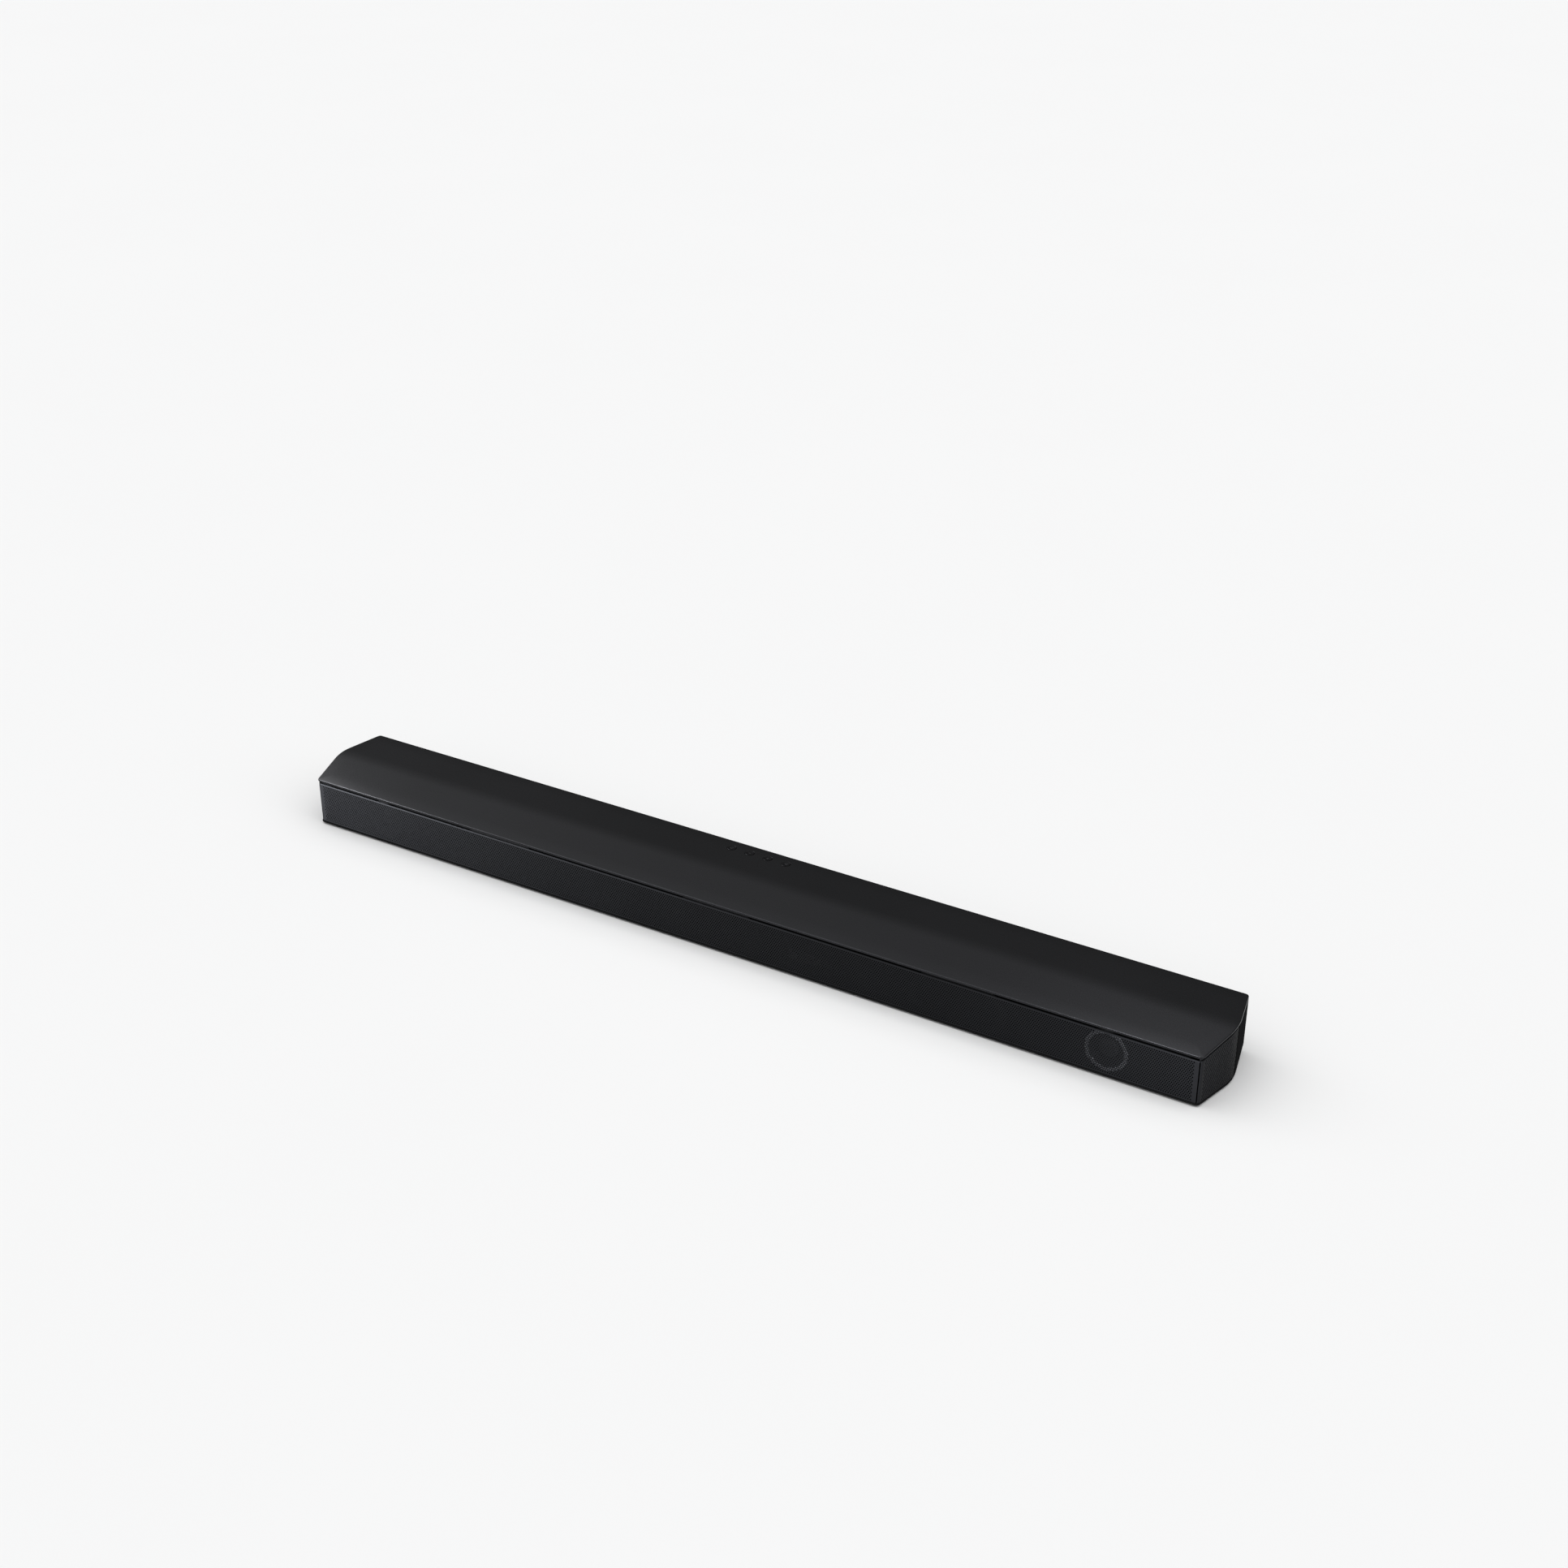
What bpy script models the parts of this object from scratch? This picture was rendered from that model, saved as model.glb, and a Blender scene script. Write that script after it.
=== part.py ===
"""A slim soundbar: a long moulded body with a perforated front, three oval woofers and two tweeters.

Lengths below are millimetres, and every mesh is built in metres. X runs along the bar, the front faces -Y
and +Z is up. The origin is the middle of the rest plane, under the centre of the bar.
"""

import math

import bmesh
import bpy

MM = 0.001

# Overall size
LENGTH = 976.0
DEPTH = 101.0
HEIGHT = 58.0

# Shape of the body
FRONT_INSET = 11.0  # how far each front corner stands in from the ends' widest line
REAR_INSET = 9.5  # the same for each rear corner
FRONT_HEIGHT = 51.0  # top of the front edge, before the roof rises to the back half
BASE = 1.5  # underside of the body above the rest plane
REAR_LIFT = 6.5  # how far the underside has risen at the rear wall
CORNER_RADIUS = 4.5
KINK_RADIUS = 22.0
REAR_RADIUS = 3.5
ROOF_BLEND = 12.0  # half length of the soft change from slope to flat

# Walls and gaps
GAP = 0.3
COVER_WALL = 2.4
COVER_RIM = 3.0
COVER_EDGE = 2.0
TRAY_WALL = 2.2
TRAY_FLOOR = 1.5
TRAY_LIP = 3.3  # top of the tray's low lip, under the grille
GRILLE_SETBACK = 0.6
GRILLE_SHEET = 0.8
GRILLE_REVEAL = 2.0  # dark gap between the roof's rim and the grille
GRILLE_END = 6.0  # the side grilles stop here, just behind the widest line
GRILLE_FOLD = 2  # points of each front corner's arc that belong to the front sheet; a seam follows
TRAY_STEP = 6.5  # the tray's wall stands full height from here back

# Keys on the roof
KEY_NAMES = ("key_power", "key_volume_down", "key_volume_up", "key_source")
KEY_FIRST_X = -35.0
KEY_PITCH = 20.0
KEY_Y = 36.5
KEY_RADIUS = 4.3
KEY_PROUD = 0.3

# Drivers
WOOFER_Z = 25.5
TWEETER_Z = 27.0
WOOFERS = (("left", -250.0), ("centre", 0.0), ("right", 250.0))
TWEETERS = (("left", -392.0), ("right", 392.0))
BAFFLE_FRONT = -44.5
BAFFLE_SHEET = 2.5
BAFFLE_HALF = 465.0
BAFFLE_LOW = 4.0
BAFFLE_HIGH = 47.6

# Connector bay in the rear wall
BAY_HALF = 66.0
BAY_FLOOR = 12.0
BAY_ROOF = 44.0
BAY_BACK = 26.4
BAY_WALL = 1.6

# Boards
BOARD = 1.6
BOARD_Z = 14.0
SOCKET_Y = 14.0

# Screws that hold the roof to the tray
SCREW_X = (-460.0, -300.0, -105.0, 105.0, 300.0, 460.0)
SCREW_Y = -6.0
POST_TOP = 6.0

ROOF = HEIGHT - KEY_PROUD
SLOPE = (ROOF - FRONT_HEIGHT) / (DEPTH / 2)


# ---------------------------------------------------------------- meshes and materials

def material(name, colour, roughness=0.5, metallic=0.0):
    """A Principled material, made once for each name."""
    found = bpy.data.materials.get(name)
    if found:
        return found
    made = bpy.data.materials.new(name)
    made.use_nodes = True
    shader = made.node_tree.nodes["Principled BSDF"]
    shader.inputs["Base Color"].default_value = (*colour, 1.0)
    shader.inputs["Roughness"].default_value = roughness
    shader.inputs["Metallic"].default_value = metallic
    return made


def finish(name, shapes, paint, at=(0, 0, 0), smooth=True):
    """One object from closed shapes of (points, faces). Points are millimetres in the bar's own frame."""
    bm = bmesh.new()
    for points, faces in shapes:
        verts = [bm.verts.new([(p - o) * MM for p, o in zip(point, at)]) for point in points]
        for face in faces:
            bm.faces.new([verts[i] for i in face])
    bmesh.ops.recalc_face_normals(bm, faces=bm.faces)
    mesh = bpy.data.meshes.new(name)
    bm.to_mesh(mesh)
    bm.free()
    if smooth:
        mesh.shade_smooth()
        mesh.set_sharp_from_angle(angle=math.radians(32))
    mesh.materials.append(paint)
    made = bpy.data.objects.new(name, mesh)
    made.location = [o * MM for o in at]
    bpy.context.scene.collection.objects.link(made)
    return made


def combine(target, name, shapes, operation):
    """Cuts shapes from target, or joins them to it, with a Boolean that stays on the object."""
    tool = finish(name, shapes, target.data.materials[0], smooth=False)
    tool.hide_render = True
    tool.display_type = "WIRE"
    step = target.modifiers.new(name, "BOOLEAN")
    step.operation = operation
    step.solver = "EXACT"
    step.object = tool


def cut(target, name, shapes):
    combine(target, name, shapes, "DIFFERENCE")


def join(target, name, shapes):
    combine(target, name, shapes, "UNION")


# ---------------------------------------------------------------- shapes, as (points, faces)

def loft(rings, loop=False, ends=None):
    """Skins rings of equal count. The first and last are capped, or met when loop is set."""
    count = len(rings[0])
    points = [point for ring in rings for point in ring]
    pairs = list(zip(range(len(rings)), range(1, len(rings))))
    if loop:
        pairs.append((len(rings) - 1, 0))
    faces = []
    for a, b in pairs:
        for i in range(count):
            j = (i + 1) % count
            faces.append((a * count + i, a * count + j, b * count + j, b * count + i))
    if not loop:
        cap = ends or (lambda n: [tuple(range(n))])
        last = (len(rings) - 1) * count
        faces += [tuple(reversed(face)) for face in cap(count)]
        faces += [tuple(last + i for i in face) for face in cap(count)]
    return points, faces


def box(low, high):
    ring = [(0, 0), (1, 0), (1, 1), (0, 1)]
    pick = (low, high)
    return loft([[(pick[a][0], pick[b][1], pick[c][2]) for a, b in ring] for c in (0, 1)])


def prism(outline, low, high):
    """An outline of (x, z) points, extruded along Y."""
    return loft([[(x, y, z) for x, z in outline] for y in (low, high)])


def stadium(width, height, steps):
    """A rectangle with round ends, or a circle when both sizes agree, about (0, 0)."""
    straight = (width - height) / 2
    ring = []
    for i in range(steps):
        angle = 2 * math.pi * (i + 0.5) / steps
        side = math.copysign(straight, math.cos(angle))
        ring.append((side + height / 2 * math.cos(angle), height / 2 * math.sin(angle)))
    return ring


def along_y(sections, x, steps, z=WOOFER_Z, loop=False):
    """Lofts stadiums of (width, height, y) about the line through (x, z) along Y."""
    rings = []
    for width, height, y in sections:
        rings.append([(x + a, y, z + b) for a, b in stadium(width, height, steps)])
    return loft(rings, loop)


def turned_y(profile, x, steps, z=WOOFER_Z, loop=False):
    """The same for round sections of (radius, y)."""
    return along_y([(2 * r, 2 * r, y) for r, y in profile], x, steps, z, loop)


def turned_z(profile, x, y, steps):
    """Lofts circles of (radius, z) about the vertical line through (x, y)."""
    rings = [[(x + a, y + b, z) for a, b in stadium(2 * r, 2 * r, steps)] for r, z in profile]
    return loft(rings)


# ---------------------------------------------------------------- the bar's own outline

def hexagon():
    """Sharp corners of the plan, anticlockwise from the front right, each with its radius."""
    half = DEPTH / 2
    lean = (math.atan(FRONT_INSET / half) + math.atan(REAR_INSET / half)) / 2
    widest = LENGTH / 2 + KINK_RADIUS * (1 / math.cos(lean) - 1)
    right = [
        (widest - FRONT_INSET, -half, CORNER_RADIUS),
        (widest, 0.0, KINK_RADIUS),
        (widest - REAR_INSET, half, REAR_RADIUS),
    ]
    return right + [(-x, y, r) for x, y, r in reversed(right)]


def rounded(before, corner, after, radius, steps):
    """Points of the arc that rounds a corner of the plan."""
    to_before = (before[0] - corner[0], before[1] - corner[1])
    to_after = (after[0] - corner[0], after[1] - corner[1])
    u = [c / math.hypot(*to_before) for c in to_before]
    w = [c / math.hypot(*to_after) for c in to_after]
    half = math.acos(u[0] * w[0] + u[1] * w[1]) / 2
    middle = (u[0] + w[0], u[1] + w[1])
    reach = radius / math.sin(half) / math.hypot(*middle)
    centre = [c + m * reach for c, m in zip(corner, middle)]
    run = radius / math.tan(half)
    start = math.atan2(corner[1] + u[1] * run - centre[1], corner[0] + u[0] * run - centre[0])
    sweep = math.pi - 2 * half
    arc = [start + sweep * i / steps for i in range(steps + 1)]
    return [(centre[0] + radius * math.cos(a), centre[1] + radius * math.sin(a)) for a in arc]


def right_side(inset, levels):
    """The plan's right half, front to rear, moved in by inset, with extra points at the y levels."""
    corners = hexagon()
    moved = []
    for i, (x, y, r) in enumerate(corners):
        before = corners[i - 1]
        after = corners[(i + 1) % len(corners)]
        normals = []
        for p, q in ((before, (x, y)), ((x, y), after)):
            run = math.hypot(q[0] - p[0], q[1] - p[1])
            normals.append(((p[1] - q[1]) / run, (q[0] - p[0]) / run))
        (ax, ay), (bx, by) = normals
        push = inset / (1 + ax * bx + ay * by)
        moved.append((x + (ax + bx) * push, y + (ay + by) * push, max(r - inset, 0.5)))
    front = rounded(moved[-1], moved[0], moved[1], moved[0][2], 5)
    kink = rounded(moved[0], moved[1], moved[2], moved[1][2], 4)
    rear = rounded(moved[1], moved[2], moved[3], moved[2][2], 3)
    side = list(front)
    for arc in (kink, rear):
        x0, y0 = side[-1]
        x1, y1 = arc[0]
        for y in levels:
            if y0 < y < y1:
                side.append((x0 + (x1 - x0) * (y - y0) / (y1 - y0), y))
        side += arc
    return side


def plan_ring(inset, height, levels):
    """The whole plan as a closed ring, at a height that depends on y."""
    side = right_side(inset, levels)
    whole = side + [(-x, y) for x, y in reversed(side)]
    return [(x, y, height(y)) for x, y in whole]


def across(count):
    """Caps a plan ring with strips that run from end to end of the bar."""
    return [(i, i + 1, count - 2 - i, count - 1 - i) for i in range(count // 2 - 1)]


def roof(y):
    """Top surface: a slope over the front half that turns softly into the flat rear half."""
    if y >= ROOF_BLEND:
        return ROOF
    if y <= -ROOF_BLEND:
        return ROOF + SLOPE * y
    return ROOF - SLOPE * (ROOF_BLEND - y) ** 2 / (4 * ROOF_BLEND)


def seam(y):
    """Lower edge of the roof's rim."""
    return roof(y) - COVER_RIM


def underside(y):
    """Bottom surface: flat under the front half, rising under the rear half."""
    return BASE + REAR_LIFT * max(y, 0.0) / (DEPTH / 2)


# ---------------------------------------------------------------- housing

def key_places():
    return [(name, KEY_FIRST_X + KEY_PITCH * i) for i, name in enumerate(KEY_NAMES)]


def top_cover():
    levels = (-36, -24, -12, -8, 8, 12, 30)
    rings = [plan_ring(0, seam, levels)]
    for turn in (0, 30, 60, 90):
        inset = COVER_EDGE * (1 - math.cos(math.radians(turn)))
        drop = COVER_EDGE * (1 - math.sin(math.radians(turn)))
        rings.append(plan_ring(inset, lambda y, drop=drop: roof(y) - drop, levels))
    inside = [
        plan_ring(COVER_WALL, seam, levels),
        plan_ring(COVER_WALL, lambda y: roof(y) - COVER_WALL, levels),
    ]
    shell = loft(list(reversed(rings)) + inside, ends=across)
    cover = finish("top_cover", [shell], material("roof_plastic", (0.022, 0.023, 0.025), 0.42))
    posts = [turned_z([(3.6, POST_TOP + GAP), (3.6, ROOF - 1.6)], x, SCREW_Y, 14) for x in SCREW_X]
    posts += [turned_z([(2.0, 49.1), (2.0, ROOF - 1.2)], x, KEY_Y, 10) for x in (-44.0, 34.0)]
    join(cover, "cover_posts", posts)
    holes = [turned_z([(1.5, POST_TOP - 1), (1.5, 20.0)], x, SCREW_Y, 12) for x in SCREW_X]
    holes += [turned_z([(KEY_RADIUS + GAP, 52.0), (KEY_RADIUS + GAP, 60.0)], x, KEY_Y, 24)
              for _, x in key_places()]
    cut(cover, "cover_holes", holes)


def bottom_cover():
    levels = (-36, -24, -12, TRAY_STEP - 0.15, TRAY_STEP + 0.15, 20, 35)

    def wall_top(y):
        return TRAY_LIP if y < TRAY_STEP else seam(y) - GAP

    rings = [
        plan_ring(1.0, underside, levels),
        plan_ring(0.3, lambda y: underside(y) + 0.3, levels),
        plan_ring(0, lambda y: underside(y) + 1.0, levels),
        plan_ring(0, wall_top, levels),
        plan_ring(TRAY_WALL, wall_top, levels),
        plan_ring(TRAY_WALL, lambda y: underside(y) + TRAY_FLOOR, levels),
    ]
    shell = loft(rings, ends=across)
    tray = finish("bottom_cover", [shell], material("tray_plastic", (0.014, 0.014, 0.015), 0.55))
    feet = [(x, y) for x in (-70.0, 70.0) for y in (-10.0, 20.0)]
    feet += [(x, y) for x in (136.0, 224.0) for y in (-6.0, 24.0)]
    feet += [(-146.0, 4.0), (-122.0, 4.0)]
    posts = [turned_z([(2.6, underside(y) + 0.8), (2.6, BOARD_Z - GAP)], x, y, 10) for x, y in feet]
    posts += [turned_z([(5.2, BASE + 0.7), (5.2, POST_TOP)], x, SCREW_Y, 16) for x in SCREW_X]
    join(tray, "tray_posts", posts)
    holes = [turned_z([(3.3, BASE - 1), (3.3, 4.2)], x, SCREW_Y, 16) for x in SCREW_X]
    holes += [box((-BAY_HALF - GAP, DEPTH / 2 - 6, BAY_FLOOR - GAP),
                  (BAY_HALF + GAP, DEPTH / 2 + 4, BAY_ROOF + GAP))]
    cut(tray, "tray_openings", holes)
    shanks = [turned_z([(1.7, BASE - 2), (1.7, POST_TOP + 2)], x, SCREW_Y, 12) for x in SCREW_X]
    cut(tray, "tray_screw_holes", shanks)


def grilles():
    """Thin sheets across the front and round both ends, left without their fine perforation."""
    levels = (-36, -24, -12, -8, GRILLE_END)
    low = TRAY_LIP + GAP
    paint = material("grille_metal", (0.018, 0.018, 0.02), 0.5, 0.4)

    def path(inset):
        return [p for p in right_side(inset, levels) if p[1] <= GRILLE_END + 0.001]

    def sheet(name, outer, inner):
        slices = []
        for (ox, oy), (ix, iy) in zip(outer, inner):
            high = seam(oy) - GRILLE_REVEAL
            slices.append([(ox, oy, low), (ox, oy, high), (ix, iy, high), (ix, iy, low)])
        finish(name, [loft(slices)], paint)

    faces = (path(GRILLE_SETBACK), path(GRILLE_SETBACK + GRILLE_SHEET))
    turned = [[(-x, y) for x, y in face] for face in faces]
    front = [left[GRILLE_FOLD - 1::-1] + right[:GRILLE_FOLD] for left, right in zip(turned, faces)]
    sheet("front_grille", *front)
    sheet("side_grille_right", *[face[GRILLE_FOLD:] for face in faces])
    sheet("side_grille_left", *[face[GRILLE_FOLD:] for face in turned])


def front_baffle():
    face, back, flange = BAFFLE_FRONT, BAFFLE_FRONT + BAFFLE_SHEET, BAFFLE_FRONT + 12.0
    low, high, thick = BAFFLE_LOW, BAFFLE_HIGH, 1.6
    section = [
        (face, low), (flange, low), (flange, low + thick), (back, low + thick),
        (back, high - thick), (flange, high - thick), (flange, high), (face, high),
    ]
    rings = [[(x, y, z) for y, z in section] for x in (-BAFFLE_HALF, BAFFLE_HALF)]
    plate = finish("front_baffle", [loft(rings)], material("baffle_plastic", (0.01, 0.01, 0.01), 0.6))
    span = (face - 3, back + 3)
    holes = [along_y([(84.2, 36.2, y) for y in span], x, 28) for _, x in WOOFERS]
    holes += [turned_y([(18.6, y) for y in span], x, 24, TWEETER_Z) for _, x in TWEETERS]
    cut(plate, "baffle_holes", holes)


def feet():
    rubber = material("foot_rubber", (0.03, 0.03, 0.03), 0.85)
    for side, x in (("left", -370.0), ("right", 370.0)):
        for row, y in (("front", -36.0), ("rear", 28.0)):
            rings = []
            for shrink, lift in ((0.8, 0.0), (0.0, 0.5), (0.0, None)):
                ring = stadium(30 - 2 * shrink, 11 - 2 * shrink, 20)
                rings.append([(x + a, y + b, underside(y + b) - GAP if lift is None else lift)
                              for a, b in ring])
            finish(f"foot_{row}_{side}", [loft(rings)], rubber)


def screws():
    steel = material("screw_steel", (0.05, 0.05, 0.055), 0.35, 1.0)
    profile = [(2.7, 1.8), (2.9, 2.0), (2.9, 3.9), (1.25, 3.9), (1.25, 17.0), (0.5, 18.2)]
    for number, x in enumerate(SCREW_X, 1):
        shape = turned_z(profile, x, SCREW_Y, 12)
        finish(f"cover_screw_{number}", [shape], steel, at=(x, SCREW_Y, BASE))


# ---------------------------------------------------------------- keys and small boards

def keys():
    plastic = material("key_plastic", (0.008, 0.008, 0.009), 0.38)
    r = KEY_RADIUS
    profile = [
        (1.5, 51.0), (1.5, 53.6), (5.3, 53.6), (5.3, ROOF - COVER_WALL - GAP), (r, ROOF - COVER_WALL - GAP),
        (r, HEIGHT - 0.4), (r - 0.12, HEIGHT - 0.12), (r - 0.4, HEIGHT),
    ]
    for name, x in key_places():
        finish(name, [turned_z(profile, x, KEY_Y, 18)], plastic, at=(x, KEY_Y, HEIGHT))


def key_board():
    green = material("circuit_board", (0.02, 0.09, 0.045), 0.5)
    board = finish("key_board", [box((-47, 30, 47.2), (37, 43, 48.8))], green, smooth=False)
    switches = [box((x - 2.5, KEY_Y - 2.5, 48.0), (x + 2.5, KEY_Y + 2.5, 50.1)) for _, x in key_places()]
    join(board, "key_switches", switches)


def receiver_board():
    green = material("circuit_board", (0.02, 0.09, 0.045), 0.5)
    high = BAFFLE_FRONT - GAP
    plate = box((78, high - 1.2, 16), (112, high, 26))
    board = finish("remote_receiver_board", [plate], green, smooth=False)
    lens = [box((82, high - 3.4, 18), (88, high - 0.5, 24))]
    lens += [box((x, high - 2.0, 20), (x + 2, high - 0.5, 22)) for x in (94.0, 99.0, 104.0)]
    join(board, "receiver_lens_and_lamps", lens)


def boards():
    green = material("circuit_board", (0.02, 0.09, 0.045), 0.5)
    top = BOARD_Z + BOARD
    main = finish("main_board", [box((-80, -14, BOARD_Z), (80, 24, top))], green, smooth=False)
    chips = [box((-20, -8, top - 0.8), (0, 8, top + 1.6)), box((26, -10, top - 0.8), (38, 2, top + 1.2))]
    chips += [box((-60, y, top - 0.8), (-52, y + 8, top + 9)) for y in (-11.0, 0.0)]
    join(main, "main_board_chips", chips)
    amplifier = finish("amplifier_board", [box((130, -10, BOARD_Z), (230, 28, top))], green, smooth=False)
    coils = [box((x, 14, top - 0.8), (x + 11, 25, top + 9)) for x in (134.0, 149.0, 200.0, 215.0)]
    join(amplifier, "amplifier_coils", coils)
    radio = finish("wireless_module", [box((-152, -6, BOARD_Z), (-116, 14, BOARD_Z + 1.2))], green,
                   smooth=False)
    join(radio, "wireless_shield", [box((-148, -3, BOARD_Z + 0.6), (-126, 11, BOARD_Z + 3.2))])


def heat_sink():
    """A comb of fins over the amplifier chips."""
    base, fin, pitch, count = BOARD_Z + BOARD + GAP, 1.6, 5.6, 11
    left = 180 - (pitch * (count - 1) + fin) / 2
    outline = [(left, base)]
    for i in range(count):
        x = left + pitch * i
        outline += [(x, base + 14), (x + fin, base + 14)]
        if i < count - 1:
            outline += [(x + fin, base + 2.4), (x + pitch, base + 2.4)]
    outline.append((left + pitch * (count - 1) + fin, base))
    metal = material("heat_sink_metal", (0.6, 0.6, 0.62), 0.4, 1.0)
    finish("heat_sink", [prism(outline, -7.0, 12.0)], metal,
           smooth=False)


# ---------------------------------------------------------------- connector bay

def sockets():
    """Name, middle in x, outer width and height, then mouth width (none if round), height and depth."""
    return (
        ("dc_inlet", -46.0, 12.0, 11.0, 0.0, 6.8, 10.0),
        ("optical_socket", -20.0, 11.0, 11.0, 7.6, 7.6, 7.0),
        ("usb_socket", 10.0, 15.6, 8.4, 13.2, 5.8, 11.0),
        ("video_socket", 40.0, 18.0, 8.0, 15.2, 5.4, 11.0),
    )


def connector_panel():
    wall = BAY_WALL
    rear = DEPTH / 2 - GAP
    panel = finish("connector_panel", [box((-BAY_HALF, BAY_BACK, BAY_FLOOR), (BAY_HALF, rear, BAY_ROOF))],
                   material("bay_plastic", (0.012, 0.012, 0.013), 0.5), smooth=False)
    cut(panel, "bay_hollow", [box((wall - BAY_HALF, BAY_BACK + wall, BAY_FLOOR + wall),
                                  (BAY_HALF - wall, rear + 5, BAY_ROOF - wall))])
    low = BOARD_Z + BOARD + GAP
    windows = [box((x - w / 2 - GAP, BAY_BACK - 4, low - GAP),
                   (x + w / 2 + GAP, BAY_BACK + 6, low + h + GAP))
               for _, x, w, h, _, _, _ in sockets()]
    cut(panel, "socket_windows", windows)


def socket_bodies():
    metal = material("socket_metal", (0.55, 0.55, 0.56), 0.35, 1.0)
    black = material("socket_plastic", (0.01, 0.01, 0.01), 0.45)
    low = BOARD_Z + BOARD + GAP
    face = BAY_BACK + BAY_WALL
    for name, x, w, h, mouth_w, mouth_h, deep in sockets():
        paint = metal if name in ("usb_socket", "video_socket") else black
        shell = box((x - w / 2, SOCKET_Y, low), (x + w / 2, face, low + h))
        body = finish(name, [shell], paint, smooth=False)
        middle = low + h / 2
        if mouth_w:
            hollow = box((x - mouth_w / 2, face - deep, middle - mouth_h / 2),
                         (x + mouth_w / 2, face + 3, middle + mouth_h / 2))
        else:
            hollow = turned_y([(mouth_h / 2, face - deep), (mouth_h / 2, face + 3)], x, 20, z=middle)
        cut(body, f"{name}_mouth", [hollow])


# ---------------------------------------------------------------- drivers

def woofer(side, x):
    """One oval woofer: basket, magnet, voice coil, cone with dust cap, surround and spider."""
    oval, circle = 20, 16
    basket = [
        (96, 42, -46.0), (96, 42, -44.8), (83, 35, -44.8), (60, 33, -30.0), (37, 33, -27.5), (37, 33, -26.0),
        (23, 23, -26.0), (23, 23, -27.5), (35, 30.8, -28.4), (57, 30.8, -31.0), (80, 33, -44.2),
        (80, 33, -46.0),
    ]
    finish(f"woofer_basket_{side}", [along_y(basket, x, oval, loop=True)],
           material("basket_steel", (0.03, 0.03, 0.03), 0.5, 0.8))
    magnet = [(9.4, -25.7), (9.4, -17.0), (11.8, -17.0), (11.8, -25.7), (16.0, -25.7), (16.0, -14.0)]
    finish(f"woofer_magnet_{side}", [turned_y(magnet, x, circle)],
           material("magnet_ferrite", (0.06, 0.06, 0.065), 0.5, 0.5))
    at = (x, -36.0, WOOFER_Z)
    coil = [(10.1, -35.4), (10.8, -35.4), (10.8, -20.0), (10.1, -20.0)]
    finish(f"woofer_voice_coil_{side}", [turned_y(coil, x, circle, loop=True)],
           material("coil_copper", (0.6, 0.28, 0.12), 0.35, 1.0), at=at)
    front = [(8, 8, -39.6), (17, 17, -38.8), (24, 24, -37.2), (48, 25.6, -41.4), (72, 27, -45.6)]
    back = [(w, h, y + 0.8) for w, h, y in reversed(front)]
    finish(f"woofer_cone_{side}", [along_y(front + back, x, oval)],
           material("cone_paper", (0.012, 0.012, 0.012), 0.7), at=at)
    roll = [
        (72.8, 27.8, -45.0), (72.8, 27.8, -46.0), (74.4, 28.9, -47.5), (76, 30, -48.0), (77.6, 31.1, -47.5),
        (79.2, 32.2, -46.0), (79.2, 32.2, -45.0), (76, 30, -47.3),
    ]
    finish(f"woofer_surround_{side}", [along_y(roll, x, oval, loop=True)],
           material("surround_rubber", (0.01, 0.01, 0.01), 0.6), at=at)
    wave = [(11.2, -31.7), (11.2, -32.3), (12.3, -33.1), (13.4, -31.5), (14.6, -32.3), (14.6, -31.7),
            (13.4, -30.9), (12.3, -32.5)]
    finish(f"woofer_spider_{side}", [turned_y(wave, x, circle, loop=True)],
           material("spider_cloth", (0.45, 0.3, 0.1), 0.9), at=at)


def tweeter(side, x):
    """One dome tweeter with the round waveguide ring that shows through the grille."""
    ring = [
        (20.0, -48.8), (20.0, -44.8), (18.0, -44.8), (18.0, -40.5), (11.2, -40.5), (11.2, -43.4),
        (13.6, -46.2), (16.4, -48.4), (17.0, -48.8),
    ]
    finish(f"waveguide_ring_{side}", [turned_y(ring, x, 24, TWEETER_Z, loop=True)],
           material("waveguide_plastic", (0.05, 0.05, 0.055), 0.4))
    at = (x, -42.0, TWEETER_Z)
    front = [(2.5, -45.3), (5.5, -44.7), (8.0, -43.5), (9.6, -42.1)]
    back = [(r, y + 0.5) for r, y in reversed(front)]
    finish(f"tweeter_dome_{side}", [turned_y(front + back, x, 16, TWEETER_Z)],
           material("dome_silk", (0.015, 0.015, 0.015), 0.75), at=at)
    roll = [(9.9, -42.4), (10.4, -43.0), (10.9, -42.4), (10.9, -41.8), (10.4, -42.3), (9.9, -41.8)]
    finish(f"tweeter_surround_{side}", [turned_y(roll, x, 16, TWEETER_Z, loop=True)],
           material("surround_rubber", (0.01, 0.01, 0.01), 0.6), at=at)
    magnet = turned_y([(15.5, -40.2), (15.5, -29.0), (14.5, -28.0)], x, 20, TWEETER_Z)
    finish(f"tweeter_magnet_{side}", [magnet],
           material("magnet_ferrite", (0.06, 0.06, 0.065), 0.5, 0.5))


# ---------------------------------------------------------------- internal wires

def smooth_route(corners, count):
    """Points on one Catmull-Rom curve through the corners."""
    ends = [corners[0]] + list(corners) + [corners[-1]]
    route = []
    for i in range(count):
        place = (len(corners) - 1) * i / (count - 1)
        k = min(int(place), len(corners) - 2)
        t = place - k
        a, b, c, d = ends[k:k + 4]
        route.append([
            0.5 * (2 * q + (r - p) * t + (2 * p - 5 * q + 4 * r - s) * t ** 2
                   + (3 * q - p - 3 * r + s) * t ** 3)
            for p, q, r, s in zip(a, b, c, d)
        ])
    return route


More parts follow.
